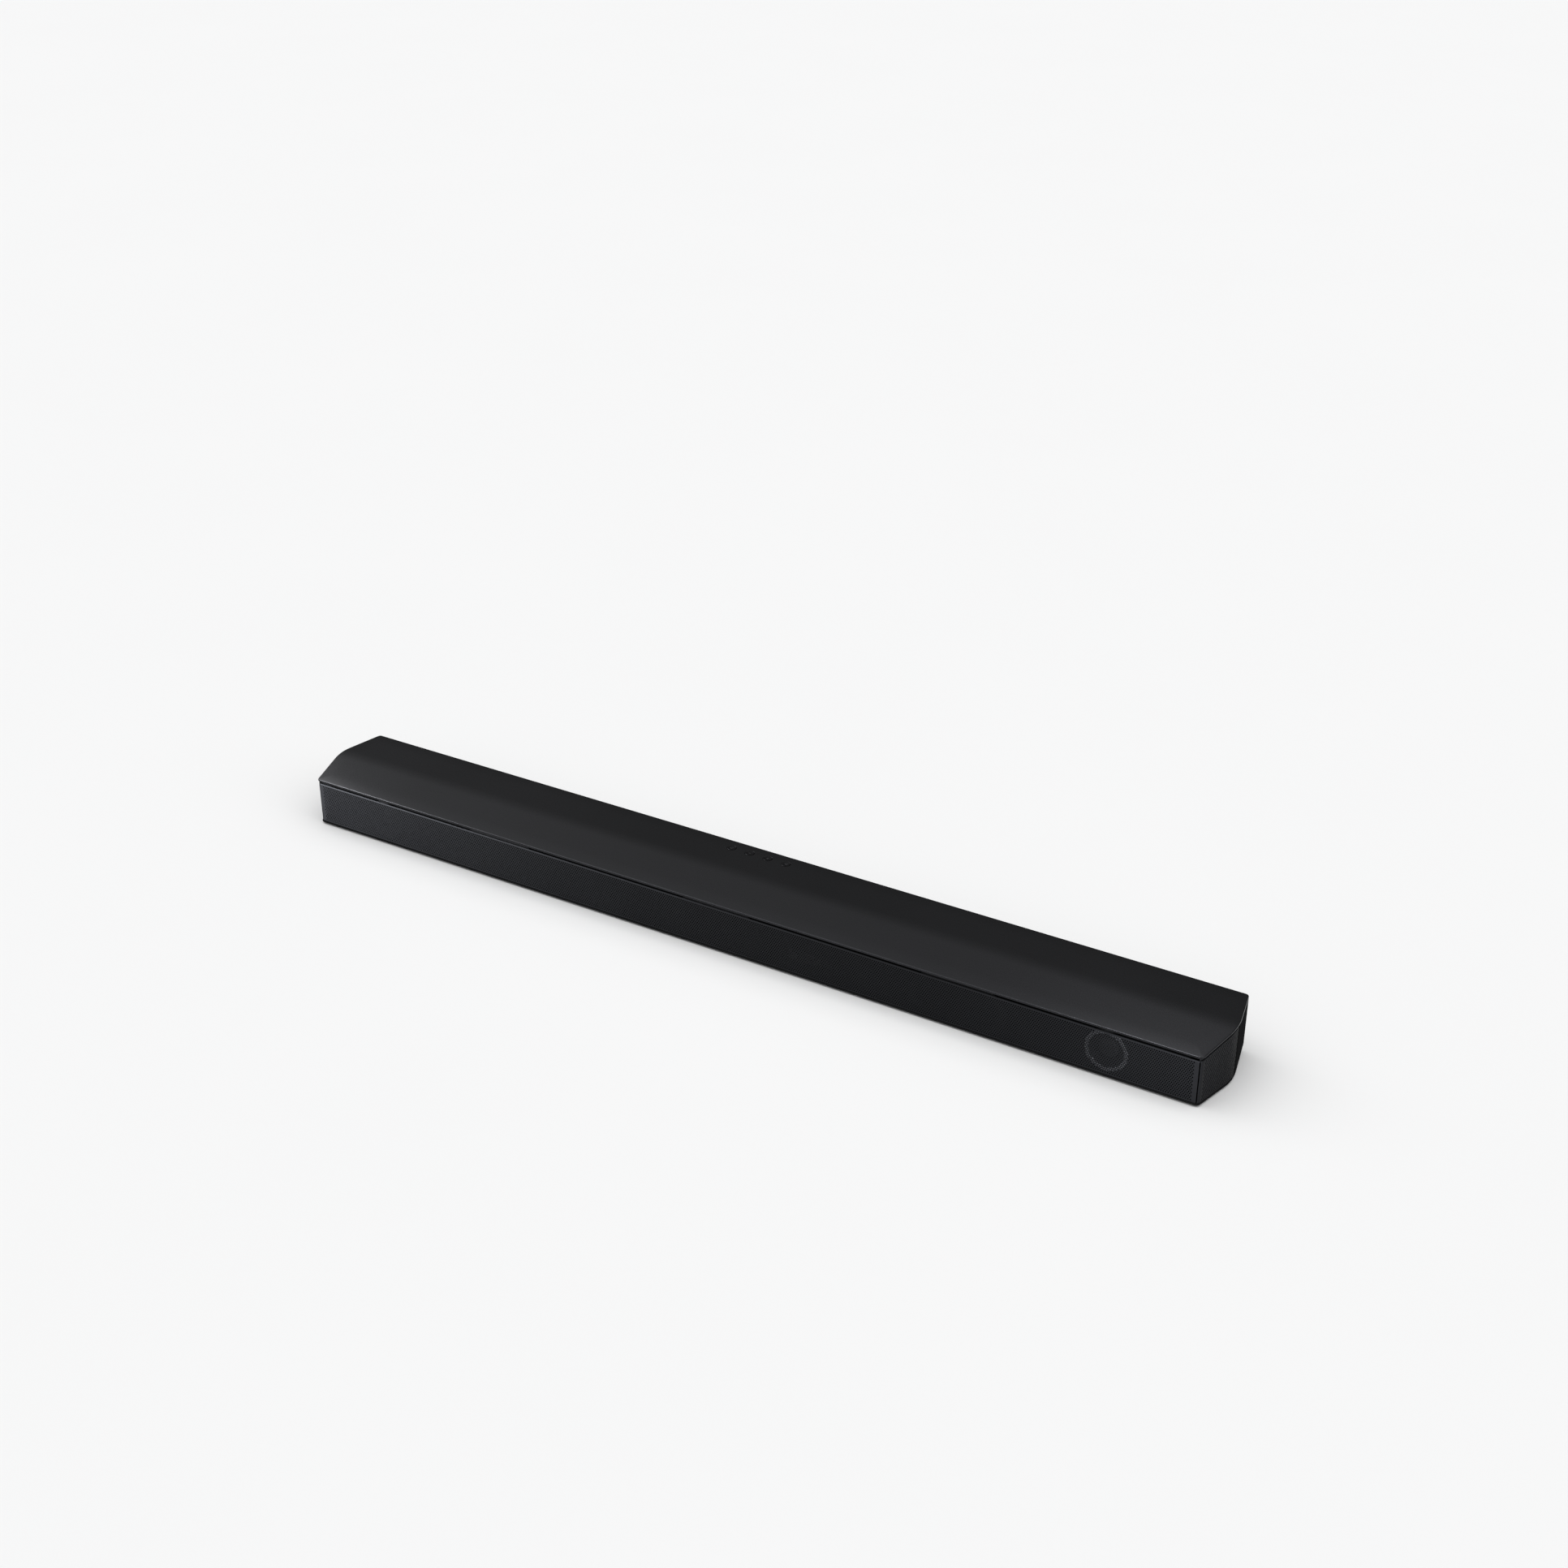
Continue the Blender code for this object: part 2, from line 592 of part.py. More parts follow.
def wires():
    """Leads from the amplifier board to the back of each woofer."""
    vinyl = material("wire_vinyl", (0.02, 0.02, 0.02), 0.5)
    back = -12.4
    routes = {
        "left": [(128.0, 8.0, 16.0), (104.0, 5.0, 33.0), (0.0, 4.0, 37.0), (-150.0, 5.0, 34.0),
                 (-236.0, 4.0, 28.0), (-250.0, -4.0, WOOFER_Z), (-250.0, back, WOOFER_Z)],
        "centre": [(128.0, 14.0, 16.0), (104.0, 9.0, 24.0), (56.0, 1.0, 29.0), (10.0, -1.0, 28.0),
                   (0.0, -5.0, WOOFER_Z), (0.0, back, WOOFER_Z)],
        "right": [(232.0, 6.0, 16.0), (242.0, 5.0, 19.0), (250.0, 1.0, 23.0), (250.0, -5.0, WOOFER_Z),
                  (250.0, back, WOOFER_Z)],
    }
    for side, corners in routes.items():
        curve = bpy.data.curves.new(f"speaker_wire_{side}", "CURVE")
        curve.dimensions = "3D"
        curve.bevel_depth = 1.1 * MM
        curve.bevel_resolution = 1
        curve.render_resolution_u = 0
        curve.use_fill_caps = True
        route = smooth_route(corners, 4 * len(corners) - 3)
        spline = curve.splines.new("POLY")
        spline.points.add(len(route) - 1)
        for point, place in zip(spline.points, route):
            point.co = (*[c * MM for c in place], 1.0)
        curve.materials.append(vinyl)
        lead = bpy.data.objects.new(f"speaker_wire_{side}", curve)
        bpy.context.scene.collection.objects.link(lead)


def build():
    for old in list(bpy.data.objects):
        bpy.data.objects.remove(old, do_unlink=True)
    top_cover()
    bottom_cover()
    grilles()
    front_baffle()
    feet()
    screws()
    keys()
    key_board()
    receiver_board()
    boards()
    heat_sink()
    connector_panel()
    socket_bodies()
    for side, x in WOOFERS:
        woofer(side, x)
    for side, x in TWEETERS:
        tweeter(side, x)
    wires()


build()
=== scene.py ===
"""Looks of a slim black soundbar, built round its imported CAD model.

Lengths in the shape functions are millimetres, and every mesh is built in metres. X runs along the bar, the
front faces -Y and +Z is up. Outlines are worked out for the right half, and the left half mirrors them.
"""

import math

import bmesh
import bpy
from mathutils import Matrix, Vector


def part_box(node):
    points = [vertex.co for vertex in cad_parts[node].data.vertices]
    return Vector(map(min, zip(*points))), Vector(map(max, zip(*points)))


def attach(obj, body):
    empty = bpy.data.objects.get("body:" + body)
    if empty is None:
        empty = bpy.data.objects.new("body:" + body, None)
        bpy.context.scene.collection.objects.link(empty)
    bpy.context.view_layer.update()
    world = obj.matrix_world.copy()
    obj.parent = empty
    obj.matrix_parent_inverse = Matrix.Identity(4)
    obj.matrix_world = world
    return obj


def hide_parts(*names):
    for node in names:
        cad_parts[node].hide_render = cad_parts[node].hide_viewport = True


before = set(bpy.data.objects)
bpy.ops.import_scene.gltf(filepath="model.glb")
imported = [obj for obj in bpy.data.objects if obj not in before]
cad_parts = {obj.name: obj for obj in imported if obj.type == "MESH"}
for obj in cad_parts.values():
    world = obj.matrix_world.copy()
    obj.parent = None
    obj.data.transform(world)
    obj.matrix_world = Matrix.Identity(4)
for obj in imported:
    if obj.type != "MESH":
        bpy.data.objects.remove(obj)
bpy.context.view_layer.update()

MM = 0.001


def span(node):
    """Lowest and highest corner of a CAD node, in millimetres."""
    return [[c / MM for c in corner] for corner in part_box(node)]


# Overall size, from the CAD covers
ROOF_LOW, ROOF_HIGH = span("top_cover")
LENGTH = ROOF_HIGH[0] - ROOF_LOW[0]
DEPTH = ROOF_HIGH[1] - ROOF_LOW[1]
ROOF = ROOF_HIGH[2]
HEIGHT = span("key_power")[1][2]
BASE = span("bottom_cover")[0][2]

# Shape of the body, as in the CAD but with rounder end points and a quicker change of slope on the roof.
# The insets reach from the sharp end point, which lies past the rounded one, to the front and rear corners.
FRONT_INSET = 12.0
REAR_INSET = 10.5
FRONT_HEIGHT = 51.0
REAR_LIFT = 6.5
CORNER_RADIUS = 4.5
KINK_RADIUS = 60.0
REAR_RADIUS = 3.5
ROOF_BLEND = 8.0
GAP = 0.3
COVER_WALL = 2.4
COVER_RIM = 3.0
TRAY_WALL = 2.2
TRAY_FLOOR = 1.5
TRAY_LIP = 3.3
TRAY_STEP = 6.5
TRAY_ROUND = 1.2
GRILLE_SETBACK = 0.6
GRILLE_SHEET = 0.8
GRILLE_REVEAL = 2.0
GRILLE_END = 6.0
SLOPE = (ROOF - FRONT_HEIGHT) / (DEPTH / 2)

# The roof's edge: a tight round below a long soft shoulder, and an undercut down to the seam
COVER_EDGE = 1.1
SHOULDER = 16.0
SHOULDER_FALL = 0.45
SHOULDER_RINGS = (1.5, 2.0, 3.0, 4.0, 5.5, 7.0, 9.0, 11.0, 13.5, SHOULDER)
UNDERCUT = 0.9

# A skirt inside the roof's rim closes the gap over the side sheets
SKIRT = 4.0
SKIRT_INSET = 1.7
SKIRT_START = 0.7  # along the outline, behind the front corner
SKIRT_END = 5.4
SKIRT_ELSEWHERE = 0.15

# Perforation
HOLE_PITCH = 2.2
HOLE_RADIUS = 0.8
SHEET_BORDER = 1.5  # plain strip along the sheets' long edges
CORNER_BAND = 2.6  # plain strip on the front sheet beside each corner
SIDE_BANDS = (1.2, 1.0)  # plain strips at the front and rear ends of the side sheets
SHEET_ROLL = 0.2  # how far a sheet's outer edge rolls back
FRONT_FOLD = 15.5  # degrees of each corner's arc that belong to the front sheet
SIDE_FOLD = 31.0  # degrees of the arc before the side sheet starts

# Keys
KEYS = ("key_power", "key_volume_down", "key_volume_up", "key_source")
KEY_RADIUS = 4.3
KEY_HOLE_BREAK = 0.25
KEY_DISH = 0.35
KEY_ROUND = 0.35
KEY_STEM = 1.5
KEY_STEM_LOW = 51.0
KEY_FLANGE = 5.3
KEY_FLANGE_LOW = 53.6
SYMBOL_LINE = 0.3

# Tweeter ring and its band
RING_RADIUS = 20.0
THROAT_RADIUS = 11.2
RING_FRONT = -48.4
BAND_INNER = 16.4
BAND_FRONT = -48.95
BAND_TOP = 45.4  # the band stops here, below the sheet's upper edge
DOME_RADIUS = 9.6
DOME_RISE = 3.3

TWEETER_Z = 27.0

# Screws from below, their posts under the roof and their bosses on the tray
SCREWS = range(1, 7)
SCREW_Y = -6.0
THREAD_LOW = 4.2
SCREW_PITCH = 0.5
SCREW_TURNS = 26
POST_RADIUS = 3.6
POST_LOW = 6.3
POST_BORE = 1.5
BOSS_RADIUS = 5.2
BOSS_TOP = 6.0
HEAD_BORE = 3.3
HEAD_SEAT = 4.2
HEAD_BORE_BREAK = 0.25
SHANK_BORE = 1.7

# Feet and their tread
FOOT_STEPS = ((0.9, 0.0), (0.5, 0.08), (0.15, 0.3), (0.0, 0.6))  # (inset, height) round the sole's edge
TREAD_PITCH = 4.0
TREAD_HALF = 0.4
TREAD_REACH = 3.6
TREAD_DEPTH = 0.35


# ---------------------------------------------------------------- materials

WEAVE_SCALE = 2200.0 / 6.0  # of the wave texture, for threads about 0.9 mm apart


def new_material(name):
    """A material, its node tree and its Principled node."""
    made = bpy.data.materials.new(f"{name}_finish")
    made.use_nodes = True
    tree = made.node_tree
    return made, tree, tree.nodes["Principled BSDF"]


def noise_node(tree, scale, detail=2.0, stretch=None):
    """Noise over the object's own metres. stretch squeezes it along an axis, for brushed or woven looks."""
    place = tree.nodes.new("ShaderNodeTexCoord")
    source = place.outputs["Object"]
    if stretch:
        squeeze = tree.nodes.new("ShaderNodeMapping")
        squeeze.inputs["Scale"].default_value = stretch
        tree.links.new(source, squeeze.inputs["Vector"])
        source = squeeze.outputs["Vector"]
    made = tree.nodes.new("ShaderNodeTexNoise")
    made.inputs["Scale"].default_value = scale
    made.inputs["Detail"].default_value = detail
    tree.links.new(source, made.inputs["Vector"])
    return made


def ranged(tree, source, low, high):
    """Spreads the middle of a noise output between low and high."""
    made = tree.nodes.new("ShaderNodeMapRange")
    made.inputs["From Min"].default_value = 0.3
    made.inputs["From Max"].default_value = 0.7
    made.inputs["To Min"].default_value = low
    made.inputs["To Max"].default_value = high
    tree.links.new(source, made.inputs["Value"])
    return made.outputs["Result"]


def grained(name, dark, light, roughness, grain=1600.0, bump=0.2, metallic=0.0, specular=0.5, cloud=14.0,
            sheen=0.06, stretch=None):
    """Moulded, painted or cast surface: two near tones in soft clouds, and fine grain in gloss and relief.

    sheen is how far the roughness goes either way.
    """
    made, tree, shader = new_material(name)
    clouds = noise_node(tree, cloud, 3.0)
    tones = tree.nodes.new("ShaderNodeValToRGB")
    tones.color_ramp.elements[0].position = 0.35
    tones.color_ramp.elements[1].position = 0.68
    tones.color_ramp.elements[0].color = (*dark, 1.0)
    tones.color_ramp.elements[1].color = (*light, 1.0)
    tree.links.new(clouds.outputs["Fac"], tones.inputs["Fac"])
    tree.links.new(tones.outputs["Color"], shader.inputs["Base Color"])
    fine = noise_node(tree, grain, 2.0, stretch)
    tree.links.new(ranged(tree, fine.outputs["Fac"], roughness - sheen, roughness + sheen),
                   shader.inputs["Roughness"])
    relief = tree.nodes.new("ShaderNodeBump")
    relief.inputs["Strength"].default_value = bump
    relief.inputs["Distance"].default_value = 0.00006
    tree.links.new(fine.outputs["Fac"], relief.inputs["Height"])
    tree.links.new(relief.outputs["Normal"], shader.inputs["Normal"])
    shader.inputs["Metallic"].default_value = metallic
    shader.inputs["Specular IOR Level"].default_value = specular
    return made


def circuit_board(name, mask, bright, trace):
    """Solder mask in two near tones with fine copper traces under it."""
    made, tree, shader = new_material(name)
    place = tree.nodes.new("ShaderNodeTexCoord")
    cells = tree.nodes.new("ShaderNodeTexBrick")
    cells.inputs["Scale"].default_value = 140.0
    cells.inputs["Mortar Size"].default_value = 0.035
    cells.inputs["Color1"].default_value = (*mask, 1.0)
    cells.inputs["Color2"].default_value = (*bright, 1.0)
    cells.inputs["Mortar"].default_value = (*trace, 1.0)
    tree.links.new(place.outputs["Object"], cells.inputs["Vector"])
    tree.links.new(cells.outputs["Color"], shader.inputs["Base Color"])
    fine = noise_node(tree, 900.0)
    tree.links.new(ranged(tree, fine.outputs["Fac"], 0.28, 0.4), shader.inputs["Roughness"])
    return made


def woven(name, dark, light):
    """Fine cloth for the domes and spiders: two crossed wave patterns in colour and relief."""
    made, tree, shader = new_material(name)
    place = tree.nodes.new("ShaderNodeTexCoord")
    waves = []
    for direction in ("X", "Z"):
        wave = tree.nodes.new("ShaderNodeTexWave")
        wave.bands_direction = direction
        wave.inputs["Scale"].default_value = WEAVE_SCALE
        wave.inputs["Distortion"].default_value = 0.4
        tree.links.new(place.outputs["Object"], wave.inputs["Vector"])
        waves.append(wave.outputs["Fac"])
    both = tree.nodes.new("ShaderNodeMath")
    both.operation = "MAXIMUM"
    for socket, wave in zip(both.inputs, waves):
        tree.links.new(wave, socket)
    tones = tree.nodes.new("ShaderNodeValToRGB")
    tones.color_ramp.elements[0].color = (*dark, 1.0)
    tones.color_ramp.elements[1].color = (*light, 1.0)
    tree.links.new(both.outputs["Value"], tones.inputs["Fac"])
    tree.links.new(tones.outputs["Color"], shader.inputs["Base Color"])
    relief = tree.nodes.new("ShaderNodeBump")
    relief.inputs["Strength"].default_value = 0.4
    relief.inputs["Distance"].default_value = 0.00008
    tree.links.new(both.outputs["Value"], relief.inputs["Height"])
    tree.links.new(relief.outputs["Normal"], shader.inputs["Normal"])
    shader.inputs["Roughness"].default_value = 0.85
    return made


PAINT = {
    "roof_plastic": grained("roof_plastic", (0.0024, 0.0025, 0.0027), (0.0032, 0.0033, 0.0036), 0.3,
                            grain=1500.0, bump=0.12, specular=0.325, cloud=9.0, sheen=0.03),
    "tray_plastic": grained("tray_plastic", (0.013, 0.0132, 0.0138), (0.0175, 0.0177, 0.0184), 0.75,
                            grain=1200.0, bump=0.3, specular=0.0),
    "grille_metal": grained("grille_metal", (0.0036, 0.0037, 0.0041), (0.0045, 0.0047, 0.0051), 0.55,
                            grain=2600.0, bump=0.15, specular=0.13, cloud=16.0),
    "baffle_plastic": grained("baffle_plastic", (0.0035, 0.0035, 0.0036), (0.0045, 0.0045, 0.0047), 0.8,
                              specular=0.0),
    "foot_rubber": grained("foot_rubber", (0.014, 0.014, 0.014), (0.022, 0.022, 0.022), 0.85, grain=2400.0,
                           bump=0.5, specular=0.3),
    "screw_steel": grained("screw_steel", (0.03, 0.03, 0.033), (0.06, 0.06, 0.063), 0.36, metallic=0.9),
    "key_plastic": grained("key_plastic", (0.003, 0.003, 0.0034), (0.004, 0.004, 0.0045), 0.45, grain=2200.0,
                           bump=0.12, specular=0.1),
    "circuit_board": circuit_board("circuit_board", (0.010, 0.075, 0.035), (0.014, 0.095, 0.045),
                                   (0.035, 0.16, 0.07)),
    "heat_sink_metal": grained("heat_sink_metal", (0.42, 0.42, 0.44), (0.6, 0.6, 0.62), 0.38, metallic=1.0,
                               grain=600.0, stretch=(1.0, 0.04, 1.0)),
    "bay_plastic": grained("bay_plastic", (0.006, 0.006, 0.0065), (0.009, 0.009, 0.0095), 0.5, bump=0.35,
                           specular=0.3),
    "socket_plastic": grained("socket_plastic", (0.008, 0.008, 0.008), (0.013, 0.013, 0.013), 0.38),
    "socket_metal": grained("socket_metal", (0.42, 0.42, 0.43), (0.56, 0.56, 0.57), 0.3, metallic=1.0,
                            grain=900.0, bump=0.1),
    "basket_steel": grained("basket_steel", (0.006, 0.006, 0.0065), (0.009, 0.009, 0.0095), 0.6,
                            specular=0.15),
    "magnet_ferrite": grained("magnet_ferrite", (0.045, 0.045, 0.05), (0.075, 0.075, 0.08), 0.55,
                              metallic=0.3, grain=700.0, bump=0.4),
    "coil_copper": grained("coil_copper", (0.45, 0.19, 0.08), (0.62, 0.29, 0.12), 0.33, metallic=1.0,
                           grain=3000.0, stretch=(0.05, 1.0, 0.05)),
    "cone_paper": grained("cone_paper", (0.004, 0.004, 0.004), (0.007, 0.007, 0.0068), 0.8, grain=500.0,
                          bump=0.6, specular=0.1),
    "surround_rubber": grained("surround_rubber", (0.004, 0.004, 0.004), (0.006, 0.006, 0.006), 0.7,
                               specular=0.12),
    "spider_cloth": woven("spider_cloth", (0.30, 0.18, 0.05), (0.5, 0.33, 0.12)),
    "waveguide_plastic": grained("waveguide_plastic", (0.004, 0.004, 0.0042), (0.006, 0.006, 0.0062), 0.55,
                                 grain=1800.0, bump=0.15, specular=0.2),
    "dome_silk": woven("dome_silk", (0.008, 0.008, 0.008), (0.016, 0.016, 0.016)),
    "wire_vinyl": grained("wire_vinyl", (0.012, 0.012, 0.012), (0.02, 0.02, 0.02), 0.45, specular=0.4),
}

# Finishes of single pieces whose slot looks different elsewhere
BAND_PAINT = grained("band_paint", (0.088, 0.088, 0.093), (0.105, 0.105, 0.11), 0.4, grain=1800.0, bump=0.15,
                     metallic=0.3)
BLACK_BOARD = circuit_board("black_board", (0.004, 0.004, 0.004), (0.005, 0.005, 0.005),
                            (0.009, 0.008, 0.007))
SYMBOL_PRINT = grained("symbol_print", (0.028, 0.028, 0.03), (0.038, 0.038, 0.04), 0.6, specular=0.2)

# Cool reflections on the roof and the sheets
for slot, tint in (("roof_plastic", (0.9, 0.91, 1.0, 1.0)), ("grille_metal", (0.92, 0.93, 1.0, 1.0))):
    PAINT[slot].node_tree.nodes["Principled BSDF"].inputs["Specular Tint"].default_value = tint


# ---------------------------------------------------------------- shapes, as (points, faces)

def loft(rings, loop=False, cap=None):
    """Skins rings of equal count. The first and last are capped, or met when loop is set."""
    count = len(rings[0])
    points = [point for ring in rings for point in ring]
    pairs = list(zip(range(len(rings)), range(1, len(rings))))
    if loop:
        pairs.append((len(rings) - 1, 0))
    faces = []
    for a, b in pairs:
        for i in range(count):
            j = (i + 1) % count
            faces.append((a * count + i, a * count + j, b * count + j, b * count + i))
    if not loop:
        lid = (cap or (lambda n: [tuple(range(n))]))(count)
        last = (len(rings) - 1) * count
        faces += [tuple(reversed(face)) for face in lid]
        faces += [tuple(last + i for i in face) for face in lid]
    return points, faces


def box(low, high):
    """A block between two corners, for cuts and small square parts."""
    pick = (low, high)
    ring = [(0, 0), (1, 0), (1, 1), (0, 1)]
    return loft([[(pick[a][0], pick[b][1], pick[c][2]) for a, b in ring] for c in (0, 1)])


def stadium(width, height, steps):
    """A rectangle with round ends, or a circle when both sizes agree, about (0, 0)."""
    straight = (width - height) / 2
    ring = []
    for i in range(steps):
        angle = 2 * math.pi * (i + 0.5) / steps
        side = math.copysign(straight, math.cos(angle))
        ring.append((side + height / 2 * math.cos(angle), height / 2 * math.sin(angle)))
    return ring


def turned_y(profile, x, z, steps, loop=False):
    """Lofts circles of (radius, y) about the line through (x, z) along Y."""
    return loft([[(x + a, y, z + b) for a, b in stadium(2 * r, 2 * r, steps)] for r, y in profile], loop)


def turned_z(profile, x, y, steps):
    """Lofts circles of (radius, z) about the vertical line through (x, y)."""
    return loft([[(x + a, y + b, z) for a, b in stadium(2 * r, 2 * r, steps)] for r, z in profile])


def quarter(radius, steps):
    """(inset, drop) pairs of a quarter round, from the side up to the top."""
    turns = [math.pi / 2 * i / steps for i in range(steps + 1)]
    return [(radius * (1 - math.cos(t)), radius * (1 - math.sin(t))) for t in turns]


def object_from(name, shapes):
    """A plain object from closed shapes of (points, faces), in metres."""
    points, faces = [], []
    for shape_points, shape_faces in shapes:
        start = len(points)
        points += [[c * MM for c in point] for point in shape_points]
        faces += [[start + i for i in face] for face in shape_faces]
    mesh = bpy.data.meshes.new(name)
    mesh.from_pydata(points, [], faces)
    bm = bmesh.new()
    bm.from_mesh(mesh)
    bmesh.ops.recalc_face_normals(bm, faces=bm.faces)
    bm.to_mesh(mesh)
    bm.free()
    made = bpy.data.objects.new(name, mesh)
    bpy.context.scene.collection.objects.link(made)
    return made


def carve(made, shapes, operation="DIFFERENCE"):
    """Cuts shapes from an object or joins them to it, and keeps the result as its mesh."""
    tool = object_from("tool", shapes)
    step = made.modifiers.new("carve", "BOOLEAN")
    step.operation = operation
    step.solver = "EXACT"
    step.object = tool
    result = bpy.data.meshes.new_from_object(made.evaluated_get(bpy.context.evaluated_depsgraph_get()))
    made.modifiers.clear()
    made.data = result
    bpy.data.objects.remove(tool)


def dress(made, slot, body="housing", stands_for=(), sharp=35):
    """Gives a finished mesh its material and smoothing, and makes it ride on a CAD body."""
    made.data.materials.clear()
    made.data.materials.append(PAINT[slot])
    made.data.shade_smooth()
    made.data.set_sharp_from_angle(angle=math.radians(sharp))
    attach(made, body)
    if stands_for:
        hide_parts(*stands_for)
    return made


def piece(name, shapes, slot, body="housing", stands_for=(), sharp=35):
    """A new mesh that is dressed as it is made."""
    return dress(object_from(name, shapes), slot, body, stands_for, sharp)


# ---------------------------------------------------------------- the bar's own outline

def outline_legs(inset=0.0):
    """The right half of the plan from mid-front to mid-rear: straight runs and arcs, with their lengths.

    An inset moves every side in. Where it is more than a corner's radius, the corner keeps a tiny arc.
    """
    half = DEPTH / 2
    lean = (math.atan(FRONT_INSET / half) + math.atan(REAR_INSET / half)) / 2
    widest = LENGTH / 2 + KINK_RADIUS * (1 / math.cos(lean) - 1)
    corners = [(0.0, -half), (widest - FRONT_INSET, -half), (widest, 0.0), (widest - REAR_INSET, half),
               (0.0, half)]
    headings = [math.atan2(q[1] - p[1], q[0] - p[0]) for p, q in zip(corners, corners[1:])]
    for i in (1, 2, 3):
        bisector = (headings[i - 1] + headings[i] + math.pi) / 2
        reach = inset / math.cos((headings[i] - headings[i - 1]) / 2)
        corners[i] = (corners[i][0] + reach * math.cos(bisector), corners[i][1] + reach * math.sin(bisector))
    legs = []
    x, y = 0.0, inset - half
    for i, sharpness in enumerate((CORNER_RADIUS, KINK_RADIUS, REAR_RADIUS)):
        radius = max(sharpness - inset, 0.2)
        heading, turn = headings[i], headings[i + 1] - headings[i]
        run = radius * math.tan(turn / 2)
        end_x = corners[i + 1][0] - run * math.cos(heading)
        end_y = corners[i + 1][1] - run * math.sin(heading)
        legs.append(("run", x, y, heading, math.hypot(end_x - x, end_y - y)))
        centre_x = end_x - radius * math.sin(heading)
        centre_y = end_y + radius * math.cos(heading)
        legs.append(("arc", centre_x, centre_y, (heading - math.pi / 2, radius), radius * turn))
        out = headings[i + 1]
        x = centre_x + radius * math.sin(out)
        y = centre_y - radius * math.cos(out)
    legs.append(("run", x, y, headings[3], x))
    return legs


LEGS = outline_legs()
MARKS = [sum(leg[4] for leg in LEGS[:i]) for i in range(len(LEGS) + 1)]
FRONT_ARC, SIDE_START, KINK_START, KINK_END, REAR_ARC, REAR_END = MARKS[1:7]
INSETS = {}  # legs of each inset outline, kept once they are worked out


def on_outline(s, inset):
    """The point s millimetres along the plan from mid-front, moved in by inset. Negative s is on the left."""
    if inset not in INSETS:
        INSETS[inset] = outline_legs(inset)
    along = abs(s)
    i = max(k for k in range(len(LEGS)) if MARKS[k] <= along + 1e-9)
    kind, x, y, bearing, length = INSETS[inset][i]
    t = (along - MARKS[i]) / LEGS[i][4] * length
    if kind == "run":
        px = x + t * math.cos(bearing)
        py = y + t * math.sin(bearing)
    else:
        start, radius = bearing
        px = x + radius * math.cos(start + t / radius)
        py = y + radius * math.sin(start + t / radius)
    return math.copysign(px, s), py


def spread(first, last, count):
    """count + 1 even steps from first to last, both included."""
    return [first + (last - first) * i / count for i in range(count + 1)]


def at_depth(y):
    """Place on the outline's straight run behind the kink that has this y."""
    _, _, start, bearing, _ = LEGS[4]
    return KINK_END + (y - start) / math.sin(bearing)


def side_stations(extra=()):
    """Places along the right side from the front corner to the rear one, close enough for smooth curves."""
    found = spread(FRONT_ARC, SIDE_START, 10) + spread(SIDE_START, KINK_START, 16) + \
        spread(KINK_START, KINK_END, 8) + spread(KINK_END, REAR_ARC, 14) + spread(REAR_ARC, REAR_END, 9)
    return sorted(set(round(s, 6) for s in found) | set(extra))


def ring(stations, inset, height):
    """The whole plan as a closed ring. height takes the point's y and its place along the outline."""
    side = [(*on_outline(s, inset), s) for s in stations]
    right = [(x, y, height(y, s)) for x, y, s in side]
    return right + [(-x, y, z) for x, y, z in reversed(right)]


def across(count):
    """Caps a plan ring with strips that run from end to end of the bar."""
    return [(i, i + 1, count - 2 - i, count - 1 - i) for i in range(count // 2 - 1)]


def roof(y):
    """Height of the roof before its edge is rounded: a slope, a soft change and a flat."""
    if y >= ROOF_BLEND:
        return ROOF
    if y <= -ROOF_BLEND:
        return ROOF + SLOPE * y
    return ROOF - SLOPE * (ROOF_BLEND - y) ** 2 / (4 * ROOF_BLEND)


def seam(y):
    """Height of the roof's lower edge."""
    return roof(y) - COVER_RIM


def crown(inset):
    """How far the roof falls below its flat shape this far inside the outline: a long soft shoulder."""
    reach = (SHOULDER - inset) / (SHOULDER - COVER_EDGE)
    return SHOULDER_FALL * max(reach, 0.0) ** 2


def underside(y):
    """Height of the tray's bottom, which rises behind the middle."""
    return BASE + REAR_LIFT * max(y, 0.0) / (DEPTH / 2)


def centre_of(node):
    """Middle of a CAD node's box, in millimetres."""
    low, high = span(node)
    return [(a + b) / 2 for a, b in zip(low, high)]


# ---------------------------------------------------------------- covers

